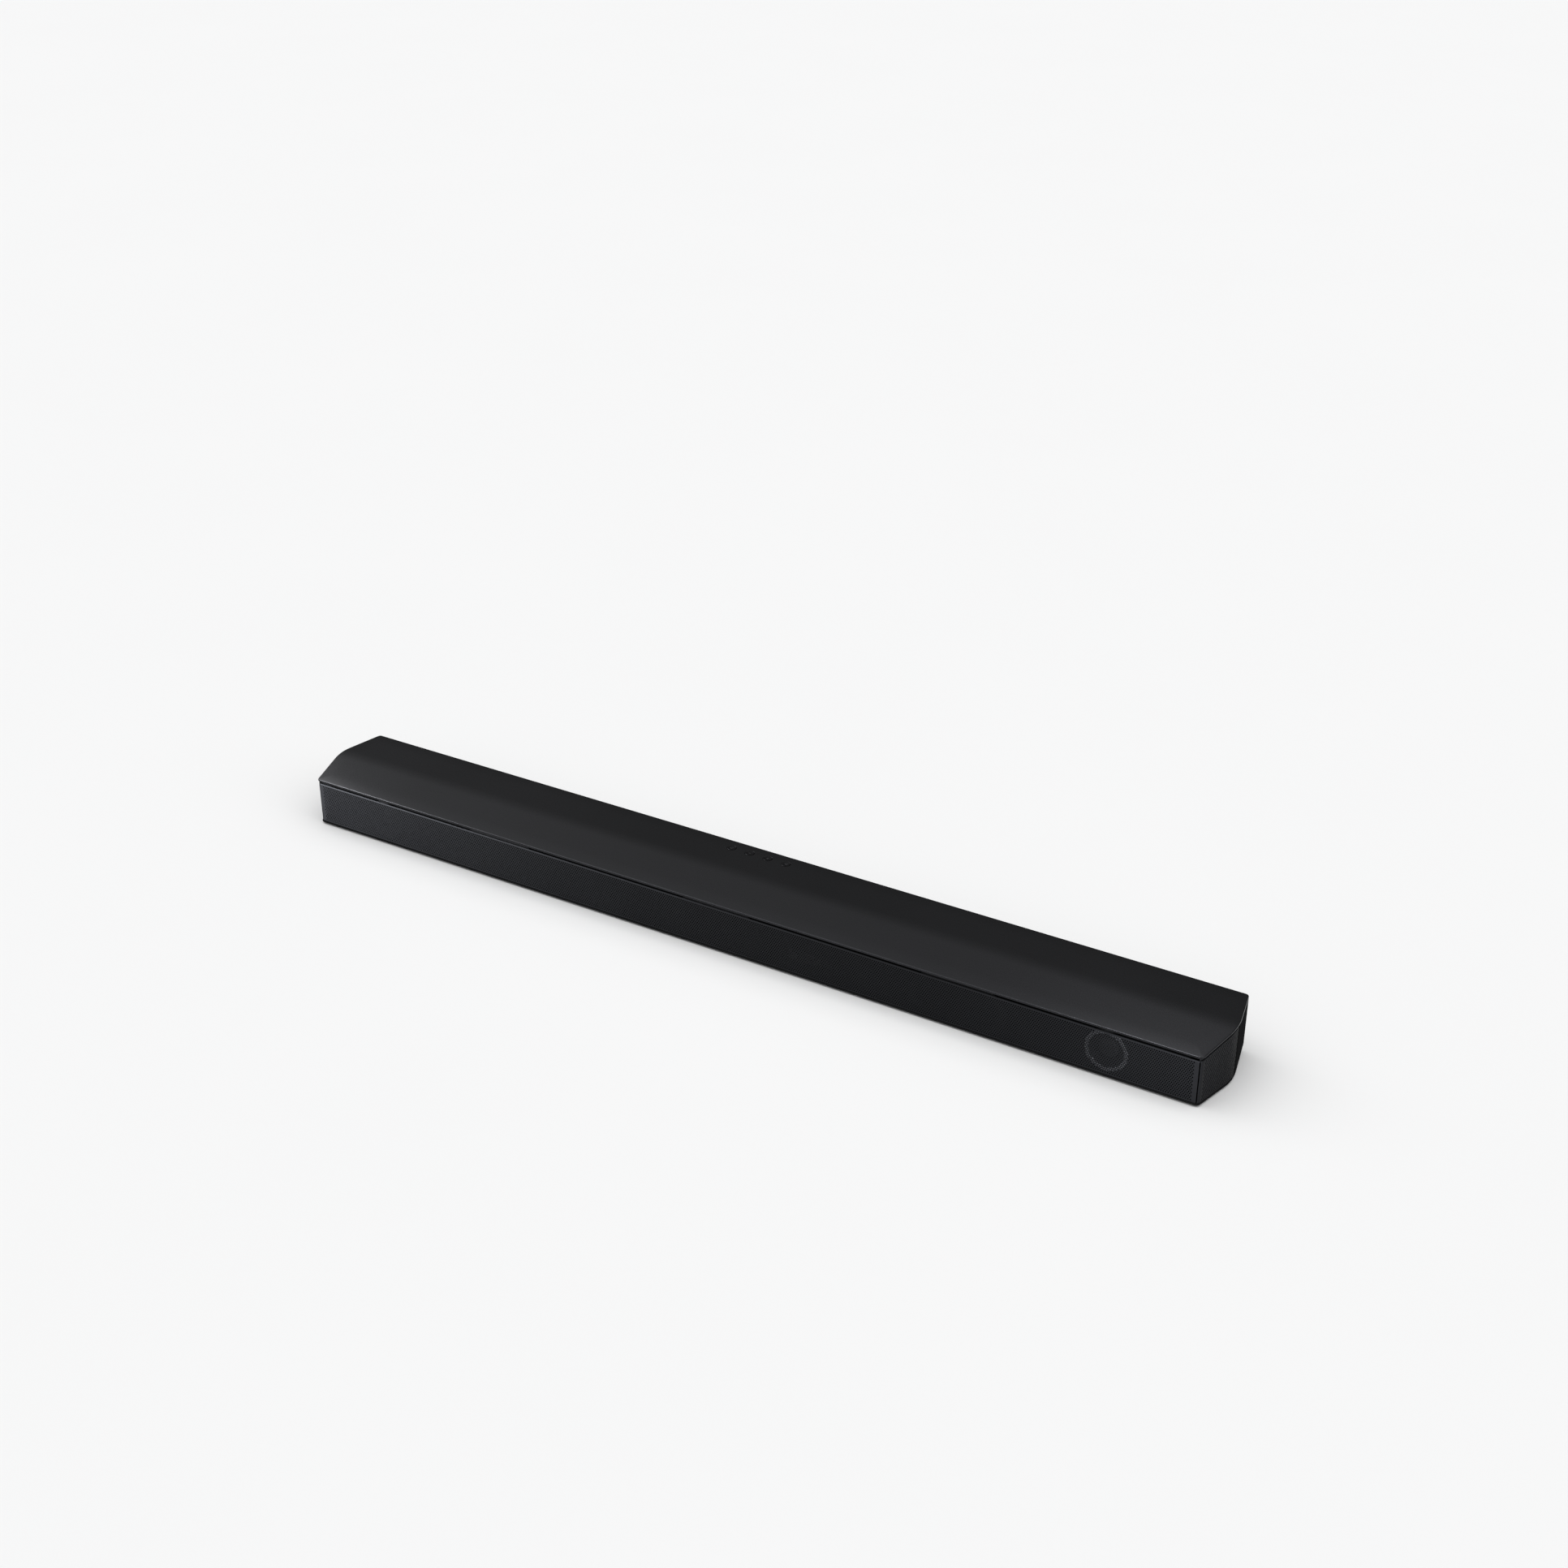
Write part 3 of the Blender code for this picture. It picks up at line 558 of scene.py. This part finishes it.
def roof_cover():
    """The roof moulding: soft shoulder, tight round and undercut along the rim, key holes, screw posts."""
    skirt_start, skirt_end = FRONT_ARC + SKIRT_START, at_depth(SKIRT_END)
    stations = side_stations((skirt_start, skirt_end, at_depth(SKIRT_END + 0.2)))

    def skirt(y, s):
        return seam(y) - (SKIRT if skirt_start <= s <= skirt_end + 1e-4 else SKIRT_ELSEWHERE)

    rings = [ring(stations, SKIRT_INSET, skirt), ring(stations, SKIRT_INSET, lambda y, s: seam(y)),
             ring(stations, UNDERCUT, lambda y, s: seam(y)),
             ring(stations, 0.0, lambda y, s: seam(y) + UNDERCUT)]
    for inset, drop in quarter(COVER_EDGE, 8):
        rings.append(ring(stations, inset, lambda y, s, drop=drop: roof(y) - SHOULDER_FALL - drop))
    for inset in SHOULDER_RINGS:
        rings.append(ring(stations, inset, lambda y, s, fall=crown(inset): roof(y) - fall))
    inside = [ring(stations, COVER_WALL, skirt),
              ring(stations, COVER_WALL, lambda y, s: roof(y) - COVER_WALL)]
    cover = object_from("roof_cover", [loft(list(reversed(rings)) + inside, cap=across)])
    posts = []
    holes = []
    for number in SCREWS:
        x = centre_of(f"cover_screw_{number}")[0]
        posts.append(turned_z([(POST_RADIUS, POST_LOW), (POST_RADIUS, ROOF - 1.6)], x, SCREW_Y, 24))
        holes.append(turned_z([(POST_BORE, 5.0), (POST_BORE, 20.0)], x, SCREW_Y, 16))
    carve(cover, posts, "UNION")
    for name in KEYS:
        x, y, _ = centre_of(name)
        r = KEY_RADIUS + GAP
        wide = r + KEY_HOLE_BREAK
        hole = [(r, 52.0), (r, ROOF - KEY_HOLE_BREAK), (wide, ROOF + 0.01), (wide, 60.0)]
        holes.append(turned_z(hole, x, y, 64))
    carve(cover, holes)
    dress(cover, "roof_plastic", stands_for=["top_cover"])


def tray():
    """The lower moulding, with a soft bottom edge, its bay cut-out and its screw holes."""
    steps = (at_depth(TRAY_STEP - 0.15), at_depth(TRAY_STEP + 0.15))
    stations = side_stations(steps)

    def wall_top(y, s):
        return TRAY_LIP if s < at_depth(TRAY_STEP) else seam(y) - GAP

    rings = []
    for inset, rise in quarter(TRAY_ROUND, 6)[::-1]:
        rings.append(ring(stations, inset, lambda y, s, rise=rise: underside(y) + rise))
    rings.insert(0, ring(stations, 2.0, lambda y, s: underside(y)))
    rings.append(ring(stations, 0.0, lambda y, s: wall_top(y, s) - 0.2))
    rings.append(ring(stations, 0.2, wall_top))
    rings.append(ring(stations, TRAY_WALL, wall_top))
    rings.append(ring(stations, TRAY_WALL, lambda y, s: underside(y) + TRAY_FLOOR))
    made = object_from("tray", [loft(rings, cap=across)])
    low, high = span("connector_panel")
    bay = box((low[0] - GAP, DEPTH / 2 - 6, low[2] - GAP), (high[0] + GAP, DEPTH / 2 + 4, high[2] + GAP))
    cuts = [bay]
    bosses = []
    for number in SCREWS:
        x = centre_of(f"cover_screw_{number}")[0]
        bosses.append(turned_z([(BOSS_RADIUS, BASE + 0.7), (BOSS_RADIUS, BOSS_TOP)], x, SCREW_Y, 32))
        mouth = HEAD_BORE + HEAD_BORE_BREAK
        bore = [(mouth, BASE - 1), (mouth, BASE), (HEAD_BORE, BASE + HEAD_BORE_BREAK), (HEAD_BORE, HEAD_SEAT)]
        cuts.append(turned_z(bore, x, SCREW_Y, 32))
    carve(made, bosses, "UNION")
    carve(made, cuts)
    shank = [(SHANK_BORE, BASE - 2), (SHANK_BORE, BOSS_TOP + 2)]
    shanks = [turned_z(shank, centre_of(f"cover_screw_{number}")[0], SCREW_Y, 16) for number in SCREWS]
    carve(made, shanks)
    dress(made, "tray_plastic", stands_for=["bottom_cover"])


# ---------------------------------------------------------------- perforated sheets

def solid_sheet(name, flat, faces, stands_for):
    """A sheet from its front face: flat holds (s, t, edge) points and faces joins them.

    The back repeats the front, and every open edge, also each hole's, gets a wall. Points with edge set are
    rolled back a little.
    """
    used = sorted({i for face in faces for i in face})
    new = {old: i for i, old in enumerate(used)}
    count = len(used)
    low = TRAY_LIP + GAP
    points = []
    for depth in (0.0, GRILLE_SHEET):
        for i in used:
            s, t, edge = flat[i]
            _, base_y = on_outline(s, GRILLE_SETBACK)
            top = seam(base_y) - GRILLE_REVEAL
            inset = GRILLE_SETBACK + (SHEET_ROLL if edge and not depth else depth)
            points.append((*on_outline(s, inset), low + t * (top - low)))
    shell = [tuple(new[i] for i in face) for face in faces]
    edges = {}
    for face in shell:
        for a, b in zip(face, face[1:] + face[:1]):
            edges[(a, b)] = edges.get((a, b), 0) + 1
    walls = [(b, a, a + count, b + count) for a, b in edges if (b, a) not in edges]
    back = [tuple(i + count for i in reversed(face)) for face in shell]
    piece(name, [(points, shell + back + walls)], "grille_metal", stands_for=stands_for, sharp=50)


def perforated(before, first, last, after, height, columns, rows):
    """Front faces of a sheet: plain strips at the ends and edges, and a staggered field of holes between.

    before and after are the places of the plain strips' lines, first and last bound the field. Returns the
    points as (s, t, edge), the faces, and for each face the place of its middle.
    """
    pitch = (last - first) / columns
    lines_s = list(before) + [first + pitch / 2 * k for k in range(2 * columns + 1)] + list(after)
    border = SHEET_BORDER / height
    rolled = SHEET_ROLL / height
    lines_t = [0.0, rolled] + spread(border, 1 - border, rows) + [1 - rolled, 1.0]
    start_k, start_j = len(before), 2
    points = []
    for k, s in enumerate(lines_s):
        for j, t in enumerate(lines_t):
            edge = k in (0, len(lines_s) - 1) or j in (0, len(lines_t) - 1)
            points.append((s, t, edge))
    tall = len(lines_t)
    faces = []
    middles = []

    def add(face, s):
        faces.append(face)
        middles.append(s)

    def cell(k, j):
        rim = [k * tall + j, (k + 1) * tall + j, (k + 2) * tall + j, (k + 2) * tall + j + 1,
               (k + 1) * tall + j + 1, k * tall + j + 1]
        middle_s = lines_s[k + 1]
        middle_t = (lines_t[j] + lines_t[j + 1]) / 2
        hole = len(points)
        for turn in range(-150, 151, 60):
            angle = math.radians(turn)
            points.append((middle_s + HOLE_RADIUS * math.cos(angle),
                           middle_t + HOLE_RADIUS * math.sin(angle) / height, False))
        for i in range(6):
            n = (i + 1) % 6
            add((rim[i], rim[n], hole + n, hole + i), middle_s)

    for j in range(tall - 1):
        row = j - start_j
        k = 0
        while k < len(lines_s) - 1:
            column = k - start_k
            field = 0 <= row < rows and 0 <= column and column + 2 <= 2 * columns
            if field and (column - row) % 2 == 0:
                cell(k, j)
                k += 2
            else:
                add((k * tall + j, (k + 1) * tall + j, (k + 1) * tall + j + 1, k * tall + j + 1),
                    (lines_s[k] + lines_s[k + 1]) / 2)
                k += 1
    return points, faces, middles


def front_sheet():
    """The front grille, folded a little round both corners, in two halves that meet hole by hole."""
    edge = FRONT_ARC - CORNER_BAND
    fold = FRONT_ARC + math.radians(FRONT_FOLD) * CORNER_RADIUS
    after = [FRONT_ARC - 0.5, FRONT_ARC] + spread(FRONT_ARC, fold, 4)[1:-1] + [fold - 0.15, fold]
    before = [-s for s in reversed(after)]
    height = FRONT_HEIGHT - COVER_RIM - GRILLE_REVEAL - TRAY_LIP - GAP
    columns = 2 * round(edge / HOLE_PITCH)
    rows = round((height - 2 * SHEET_BORDER) / (HOLE_PITCH * math.sin(math.pi / 3)))
    points, faces, middles = perforated(before, -edge, edge, after, height, columns, rows)
    split = HOLE_PITCH / 4
    left = [face for face, s in zip(faces, middles) if s <= split]
    right = [face for face, s in zip(faces, middles) if s > split]
    solid_sheet("front_grille_sheet_left", points, left, ["front_grille"])
    solid_sheet("front_grille_sheet_right", points, right, ["front_grille"])


def side_sheets():
    """The grille sheets round both ends, perforated from behind the corner to just past the end point."""
    begin = FRONT_ARC + math.radians(SIDE_FOLD) * CORNER_RADIUS
    end = at_depth(GRILLE_END)
    first, last = SIDE_START + SIDE_BANDS[0], end - SIDE_BANDS[1]
    before = [begin, begin + 0.25] + spread(begin + 0.25, SIDE_START, 5)[1:]
    after = [end - 0.4, end]
    height = seam(-DEPTH / 4) - GRILLE_REVEAL - TRAY_LIP - GAP
    columns = round((last - first) / HOLE_PITCH)
    rows = round((height - 2 * SHEET_BORDER) / (HOLE_PITCH * math.sin(math.pi / 3)))
    points, faces, _ = perforated(before, first, last, after, height, columns, rows)
    solid_sheet("side_grille_sheet_right", points, faces, ["side_grille_right"])
    turned = [(-s, t, edge) for s, t, edge in points]
    solid_sheet("side_grille_sheet_left", turned, [face[::-1] for face in faces], ["side_grille_left"])


# ---------------------------------------------------------------- keys

def stroke(points, width):
    """The outline of a line of this width through the points."""
    left = []
    right = []
    for i, (x, y) in enumerate(points):
        before = points[max(i - 1, 0)]
        after = points[min(i + 1, len(points) - 1)]
        run = math.hypot(after[0] - before[0], after[1] - before[1])
        nx, ny = (before[1] - after[1]) / run, (after[0] - before[0]) / run
        left.append((x + nx * width / 2, y + ny * width / 2))
        right.append((x - nx * width / 2, y - ny * width / 2))
    return left + right[::-1]


def icon(name):
    """Outlines of a key's plain symbol about its centre."""
    if name == "key_power":
        arc = [(1.25 * math.sin(math.radians(a)), 1.25 * math.cos(math.radians(a)) - 0.1)
               for a in range(40, 321, 10)]
        return [stroke(arc, SYMBOL_LINE), stroke([(0.0, 0.35), (0.0, 1.55)], SYMBOL_LINE)]
    if name == "key_volume_down":
        return [stroke([(-1.2, 0.0), (1.2, 0.0)], SYMBOL_LINE)]
    if name == "key_volume_up":
        a, b = 1.2, SYMBOL_LINE / 2
        quarter_turn = [(a, b), (b, b), (b, a)]
        plus = []
        for turn in range(4):
            c, s = round(math.cos(turn * math.pi / 2)), round(math.sin(turn * math.pi / 2))
            plus += [(x * c - y * s, x * s + y * c) for x, y in quarter_turn]
        return [plus]
    door = [(0.3, 1.2), (1.4, 1.2), (1.4, -1.2), (0.3, -1.2)]
    shaft = stroke([(-1.5, 0.0), (-0.2, 0.0)], 0.28)
    return [stroke(door, 0.28), shaft, [(-0.2, 0.6), (-0.2, -0.6), (0.65, 0.0)]]


def keys():
    """Round dished keys with a soft rim, each with a raised plain symbol in its dish."""
    r = KEY_RADIUS
    for name in KEYS:
        x, y, _ = centre_of(name)
        profile = [(KEY_STEM, KEY_STEM_LOW), (KEY_STEM, KEY_FLANGE_LOW), (KEY_FLANGE, KEY_FLANGE_LOW),
                   (KEY_FLANGE, ROOF - COVER_WALL - GAP), (r, ROOF - COVER_WALL - GAP)]
        profile += [(r - inset, HEIGHT - drop) for inset, drop in quarter(KEY_ROUND, 5)]
        for i in range(1, 9):
            share = 1 - i / 8.6
            profile.append(((r - KEY_ROUND) * share, HEIGHT - KEY_DISH * (1 - share ** 2)))
        piece(f"{name}_cap", [turned_z(profile, x, y, 56)], "key_plastic", name, [name])
        low = HEIGHT - KEY_DISH - 0.05
        shapes = []
        for outline in icon(name):
            shapes.append(loft([[(x + a, y + b, z) for a, b in outline] for z in (low, HEIGHT - 0.2)]))
        mark = piece(f"{name}_symbol", shapes, "key_plastic", name)
        mark.data.materials[0] = SYMBOL_PRINT


# ---------------------------------------------------------------- small parts

def feet():
    """Rubber feet with rounded edges and fine tread grooves on their soles."""
    for side in ("left", "right"):
        for row in ("front", "rear"):
            node = f"foot_{row}_{side}"
            low, high = span(node)
            x, y = (low[0] + high[0]) / 2, (low[1] + high[1]) / 2
            width, depth = high[0] - low[0], high[1] - low[1]
            rings = []
            for inset, z in FOOT_STEPS:
                flat = stadium(width - 2 * inset, depth - 2 * inset, 48)
                rings.append([(x + a, y + b, z) for a, b in flat])
            flat = stadium(width, depth, 48)
            rings.append([(x + a, y + b, underside(y + b) - GAP) for a, b in flat])
            made = object_from(f"{node}_pad", [loft(rings)])
            grooves = []
            for i in (-2, -1, 0, 1, 2):
                middle = x + i * TREAD_PITCH
                grooves.append(box((middle - TREAD_HALF, y - TREAD_REACH, -1.0),
                                   (middle + TREAD_HALF, y + TREAD_REACH, TREAD_DEPTH)))
            carve(made, grooves)
            dress(made, "foot_rubber", stands_for=[node])


def screws():
    """Cross-head screws whose round heads sit in the tray's holes."""
    profile = [(0.6, 1.75), (1.9, 1.8), (2.55, 1.95), (2.8, 2.2), (2.9, 2.5), (2.9, 3.9), (1.25, 3.9)]
    for i in range(SCREW_TURNS):
        z = THREAD_LOW + SCREW_PITCH * i
        profile += [(1.08, z), (1.25, z + SCREW_PITCH / 2)]
    profile += [(1.0, 17.2), (0.3, 18.2)]
    for number in SCREWS:
        node = f"cover_screw_{number}"
        x = centre_of(node)[0]
        made = object_from(f"{node}_head", [turned_z(profile, x, SCREW_Y, 32)])
        cross = [box((x - 1.6, SCREW_Y - 0.32, 1.0), (x + 1.6, SCREW_Y + 0.32, 3.0)),
                 box((x - 0.32, SCREW_Y - 1.6, 1.0), (x + 0.32, SCREW_Y + 1.6, 3.0))]
        for groove in cross:
            carve(made, [groove])
        dress(made, "screw_steel", stands_for=[node])


def tweeters():
    """The waveguide rings that show through the grille, and the silk domes inside them."""
    for side in ("left", "right"):
        x = centre_of(f"waveguide_ring_{side}")[0]
        ring_profile = [(RING_RADIUS, -48.5), (RING_RADIUS, -44.8), (18.0, -44.8), (18.0, -40.5),
                        (THROAT_RADIUS, -40.5), (THROAT_RADIUS, -43.4)]
        for i in range(1, 8):
            share = i / 8
            ring_profile.append((THROAT_RADIUS + 5.0 * share ** 1.4, -43.4 - 5.0 * share ** 0.8))
        ring_profile += [(16.9, RING_FRONT), (19.7, RING_FRONT)]
        piece(f"waveguide_{side}", [turned_y(ring_profile, x, TWEETER_Z, 72, loop=True)], "waveguide_plastic",
              stands_for=[f"waveguide_ring_{side}"])
        band = [(RING_RADIUS, -48.3), (RING_RADIUS, -48.75), (19.75, BAND_FRONT), (16.6, BAND_FRONT),
                (BAND_INNER, -48.75), (BAND_INNER, -48.3)]
        trim = object_from(f"waveguide_band_{side}", [turned_y(band, x, TWEETER_Z, 96, loop=True)])
        carve(trim, [box((x - 25, -50, BAND_TOP), (x + 25, -47, 60))])
        dress(trim, "waveguide_plastic")
        trim.data.materials[0] = BAND_PAINT
        front = [(DOME_RADIUS * math.sin(math.radians(a)), -42.1 - DOME_RISE * math.cos(math.radians(a)))
                 for a in range(6, 85, 6)]
        back = [(r, y + 0.5) for r, y in reversed(front)]
        piece(f"silk_dome_{side}", [turned_y(front + back, x, TWEETER_Z, 48)], "dome_silk",
              f"tweeter_{side}", [f"tweeter_dome_{side}"])


def sockets():
    """Contacts and pins inside the CAD's plain socket shells."""
    low, high = span("dc_inlet")
    x, z = (low[0] + high[0]) / 2, (low[2] + high[2]) / 2
    face = high[1]
    pin = [(0.98, face - 9.6), (0.98, face - 1.6), (0.7, face - 1.1), (0.25, face - 0.9)]
    piece("dc_inlet_pin", [turned_y(pin, x, z, 32)], "socket_metal")
    for name, tongue_w, tongue_h, count, lift in (("usb_socket", 11.2, 1.9, 4, 1.1),
                                                  ("video_socket", 12.6, 1.3, 10, 0.0)):
        low, high = span(name)
        x, z = (low[0] + high[0]) / 2, (low[2] + high[2]) / 2 + lift
        back, tip = high[1] - 10.8, high[1] - 1.4
        tongue = [box((x - tongue_w / 2, back, z - tongue_h / 2), (x + tongue_w / 2, tip, z + tongue_h / 2))]
        piece(f"{name}_tongue", tongue, "socket_plastic")
        step = tongue_w / count
        strips = []
        for i in range(count):
            middle = x - tongue_w / 2 + step * (i + 0.5)
            strips.append(box((middle - step * 0.28, back + 2, z - tongue_h / 2 - 0.12),
                              (middle + step * 0.28, tip - 0.5, z - tongue_h / 2 - 0.01)))
        piece(f"{name}_contacts", strips, "coil_copper")
    low, high = span("optical_socket")
    x, z = (low[0] + high[0]) / 2, (low[2] + high[2]) / 2
    shutter = [(3.62, high[1] - 1.9), (3.62, high[1] - 1.35), (3.3, high[1] - 1.1)]
    flap = [[(x + a, y, z + b) for a, b in ((-r, -r), (r, -r), (r, r), (-r, r))] for r, y in shutter]
    piece("optical_shutter", [loft(flap)], "socket_plastic")


def carried_over():
    """CAD nodes that stay get the finish of the slot that their plain CAD material names.

    Only the receiver board is black, so that it stays dark behind the front's holes.
    """
    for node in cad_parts.values():
        if not node.hide_render:
            slot = node.data.materials[0].name
            node.data.materials.clear()
            node.data.materials.append(PAINT[slot])
    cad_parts["remote_receiver_board"].data.materials[0] = BLACK_BOARD


# ---------------------------------------------------------------- studio

# Radiance round the bar's length, from the rear horizon (0) over the top (0.5) to the front horizon (1)
SKY = ((0.0, 0.02), (0.09, 0.03), (0.16, 0.18), (0.24, 0.185), (0.27, 0.64), (0.375, 0.74), (0.415, 1.93),
       (0.6, 1.93), (0.7, 0.79), (1.0, 0.79))
SKY_FADE = (0.1, 0.38)  # sines of the elevations between which the sky reaches its full strength
SKY_AT_HORIZON = 0.1
SKY_STRENGTH = 2.0
BACKDROP = 0.93  # what the camera sees past the floor


def aim(made, target):
    """Turns a lamp or camera towards a point."""
    made.rotation_mode = "QUATERNION"
    made.rotation_quaternion = (Vector(target) - made.location).to_track_quat("-Z", "Y")


def softbox(name, at, target, size, watts, group, colour=(1.0, 1.0, 1.0), spread_angle=180.0):
    """A rectangular lamp that the camera doesn't see, and that lights what its group says."""
    lamp = bpy.data.lights.new(name, "AREA")
    lamp.shape = "RECTANGLE"
    lamp.size, lamp.size_y = size
    lamp.energy = watts
    lamp.color = colour
    lamp.spread = math.radians(spread_angle)
    made = bpy.data.objects.new(name, lamp)
    made.location = at
    bpy.context.scene.collection.objects.link(made)
    aim(made, target)
    made.visible_camera = False
    made.light_linking.receiver_collection = group


def light_group(name, members, state):
    """What a softbox leaves out (EXCLUDE), or the only things it lights (INCLUDE)."""
    made = bpy.data.collections.new(name)
    for member in members:
        made.objects.link(member)
    for row in made.collection_objects:
        row.light_linking.link_state = state
    return made


def pale_floor():
    """A wide matt floor."""
    floor = bpy.data.meshes.new("floor")
    reach = 30.0
    floor.from_pydata([(-reach, -reach, 0), (reach, -reach, 0), (reach, reach, 0), (-reach, reach, 0)], [],
                      [(0, 1, 2, 3)])
    pale, tree, shader = new_material("pale_floor")
    fine = noise_node(tree, 3.0)
    tones = tree.nodes.new("ShaderNodeValToRGB")
    tones.color_ramp.elements[0].color = (0.855, 0.857, 0.858, 1.0)
    tones.color_ramp.elements[1].color = (0.865, 0.867, 0.868, 1.0)
    tree.links.new(fine.outputs["Fac"], tones.inputs["Fac"])
    tree.links.new(tones.outputs["Color"], shader.inputs["Base Color"])
    shader.inputs["Roughness"].default_value = 1.0
    shader.inputs["Specular IOR Level"].default_value = 0.0
    floor.materials.append(pale)
    ground = bpy.data.objects.new("floor", floor)
    bpy.context.scene.collection.objects.link(ground)
    return ground


def sky_light():
    """A sky that is brightest overhead and fades towards the horizon. The camera sees a plain backdrop."""
    world = bpy.data.worlds.new("studio")
    bpy.context.scene.world = world
    world.use_nodes = True
    tree = world.node_tree
    place = tree.nodes.new("ShaderNodeTexCoord")
    split = tree.nodes.new("ShaderNodeSeparateXYZ")
    rise = tree.nodes.new("ShaderNodeMath")
    rise.operation = "ARCTAN2"
    turn = tree.nodes.new("ShaderNodeMath")
    turn.operation = "DIVIDE"
    turn.inputs[1].default_value = math.pi
    ramp = tree.nodes.new("ShaderNodeValToRGB")
    tree.links.new(place.outputs["Generated"], split.inputs["Vector"])
    tree.links.new(split.outputs["Z"], rise.inputs[0])
    tree.links.new(split.outputs["Y"], rise.inputs[1])
    tree.links.new(rise.outputs["Value"], turn.inputs[0])
    tree.links.new(turn.outputs["Value"], ramp.inputs["Fac"])
    stops = ramp.color_ramp.elements
    stops[0].position, stops[1].position = SKY[0][0], SKY[-1][0]
    for position, _ in SKY[1:-1]:
        stops.new(position)
    for stop, (_, level) in zip(stops, SKY):
        stop.color = (level / SKY_STRENGTH, level / SKY_STRENGTH, level / SKY_STRENGTH, 1.0)
    dim = tree.nodes.new("ShaderNodeMapRange")
    dim.inputs["From Min"].default_value = SKY_FADE[0]
    dim.inputs["From Max"].default_value = SKY_FADE[1]
    dim.inputs["To Min"].default_value = SKY_AT_HORIZON
    tree.links.new(split.outputs["Z"], dim.inputs["Value"])
    faded = tree.nodes.new("ShaderNodeVectorMath")
    faded.operation = "SCALE"
    tree.links.new(ramp.outputs["Color"], faded.inputs[0])
    tree.links.new(dim.outputs["Result"], faded.inputs["Scale"])
    sky = tree.nodes["Background"]
    tree.links.new(faded.outputs["Vector"], sky.inputs["Color"])
    sky.inputs["Strength"].default_value = SKY_STRENGTH
    plain = tree.nodes.new("ShaderNodeBackground")
    plain.inputs["Color"].default_value = (BACKDROP, BACKDROP, BACKDROP, 1.0)
    ray = tree.nodes.new("ShaderNodeLightPath")
    either = tree.nodes.new("ShaderNodeMixShader")
    tree.links.new(ray.outputs["Is Camera Ray"], either.inputs[0])
    tree.links.new(sky.outputs["Background"], either.inputs[1])
    tree.links.new(plain.outputs["Background"], either.inputs[2])
    tree.links.new(either.outputs["Shader"], tree.nodes["World Output"].inputs["Surface"])


def softboxes(ground):
    """Lamps for the roof's ends, its front edge and the front. None lights the floor, which stays even."""
    cover, tray_shell = bpy.data.objects["roof_cover"], bpy.data.objects["tray"]
    all_but_floor = light_group("floor_unlit", [ground], "EXCLUDE")
    all_but_covers = light_group("covers_unlit", [ground, cover, tray_shell], "EXCLUDE")
    roof_only = light_group("roof_lit", [cover], "INCLUDE")
    cool = (0.93, 0.95, 1.0)
    softbox("roof_left", (-0.81, 0.085, 0.385), (-0.46, -0.04, 0.05), (0.16, 0.16), 0.4, all_but_floor)
    softbox("roof_right", (0.3, 0.195, 0.58), (0.46, -0.045, 0.053), (0.2, 0.2), 0.2, all_but_floor)
    softbox("edge_left", (-0.77, -0.22, 0.41), (-0.46, -0.05, 0.05), (0.15, 0.15), 0.26, roof_only,
            spread_angle=60.0)
    softbox("edge_middle", (-0.27, -0.42, 0.43), (0.0, -0.05, 0.05), (1.1, 0.1), 0.25, roof_only,
            spread_angle=70.0)
    softbox("edge_right", (0.33, -0.25, 0.49), (0.46, -0.05, 0.05), (0.15, 0.15), 0.16, roof_only,
            spread_angle=60.0)
    softbox("front_left", (-0.78, -0.36, 0.2), (-0.45, -0.05, 0.03), (0.25, 0.25), 20.0, all_but_covers, cool)
    softbox("front_right", (0.5, -0.27, 0.08), (0.46, -0.05, 0.03), (0.12, 0.12), 1.3, all_but_covers, cool)


def studio():
    """Floor, sky and lamps."""
    bpy.context.scene.view_settings.view_transform = "Standard"
    ground = pale_floor()
    sky_light()
    softboxes(ground)


def camera():
    """Looks down on the bar from its front right."""
    azimuth, elevation, distance = math.radians(31.03), math.radians(27.92), 2.047
    target = Vector((0.045, 0.0, 0.165))
    away = Vector((math.sin(azimuth) * math.cos(elevation), -math.cos(azimuth) * math.cos(elevation),
                   math.sin(elevation)))
    lens = bpy.data.cameras.new("camera")
    lens.lens = 52.06
    lens.sensor_width = 36.0
    lens.clip_start = 0.05
    lens.clip_end = 100.0
    made = bpy.data.objects.new("camera", lens)
    bpy.context.scene.collection.objects.link(made)
    made.location = target + away * distance
    aim(made, target)
    bpy.context.scene.camera = made


roof_cover()
tray()
front_sheet()
side_sheets()
keys()
feet()
screws()
tweeters()
sockets()
carried_over()
studio()
camera()
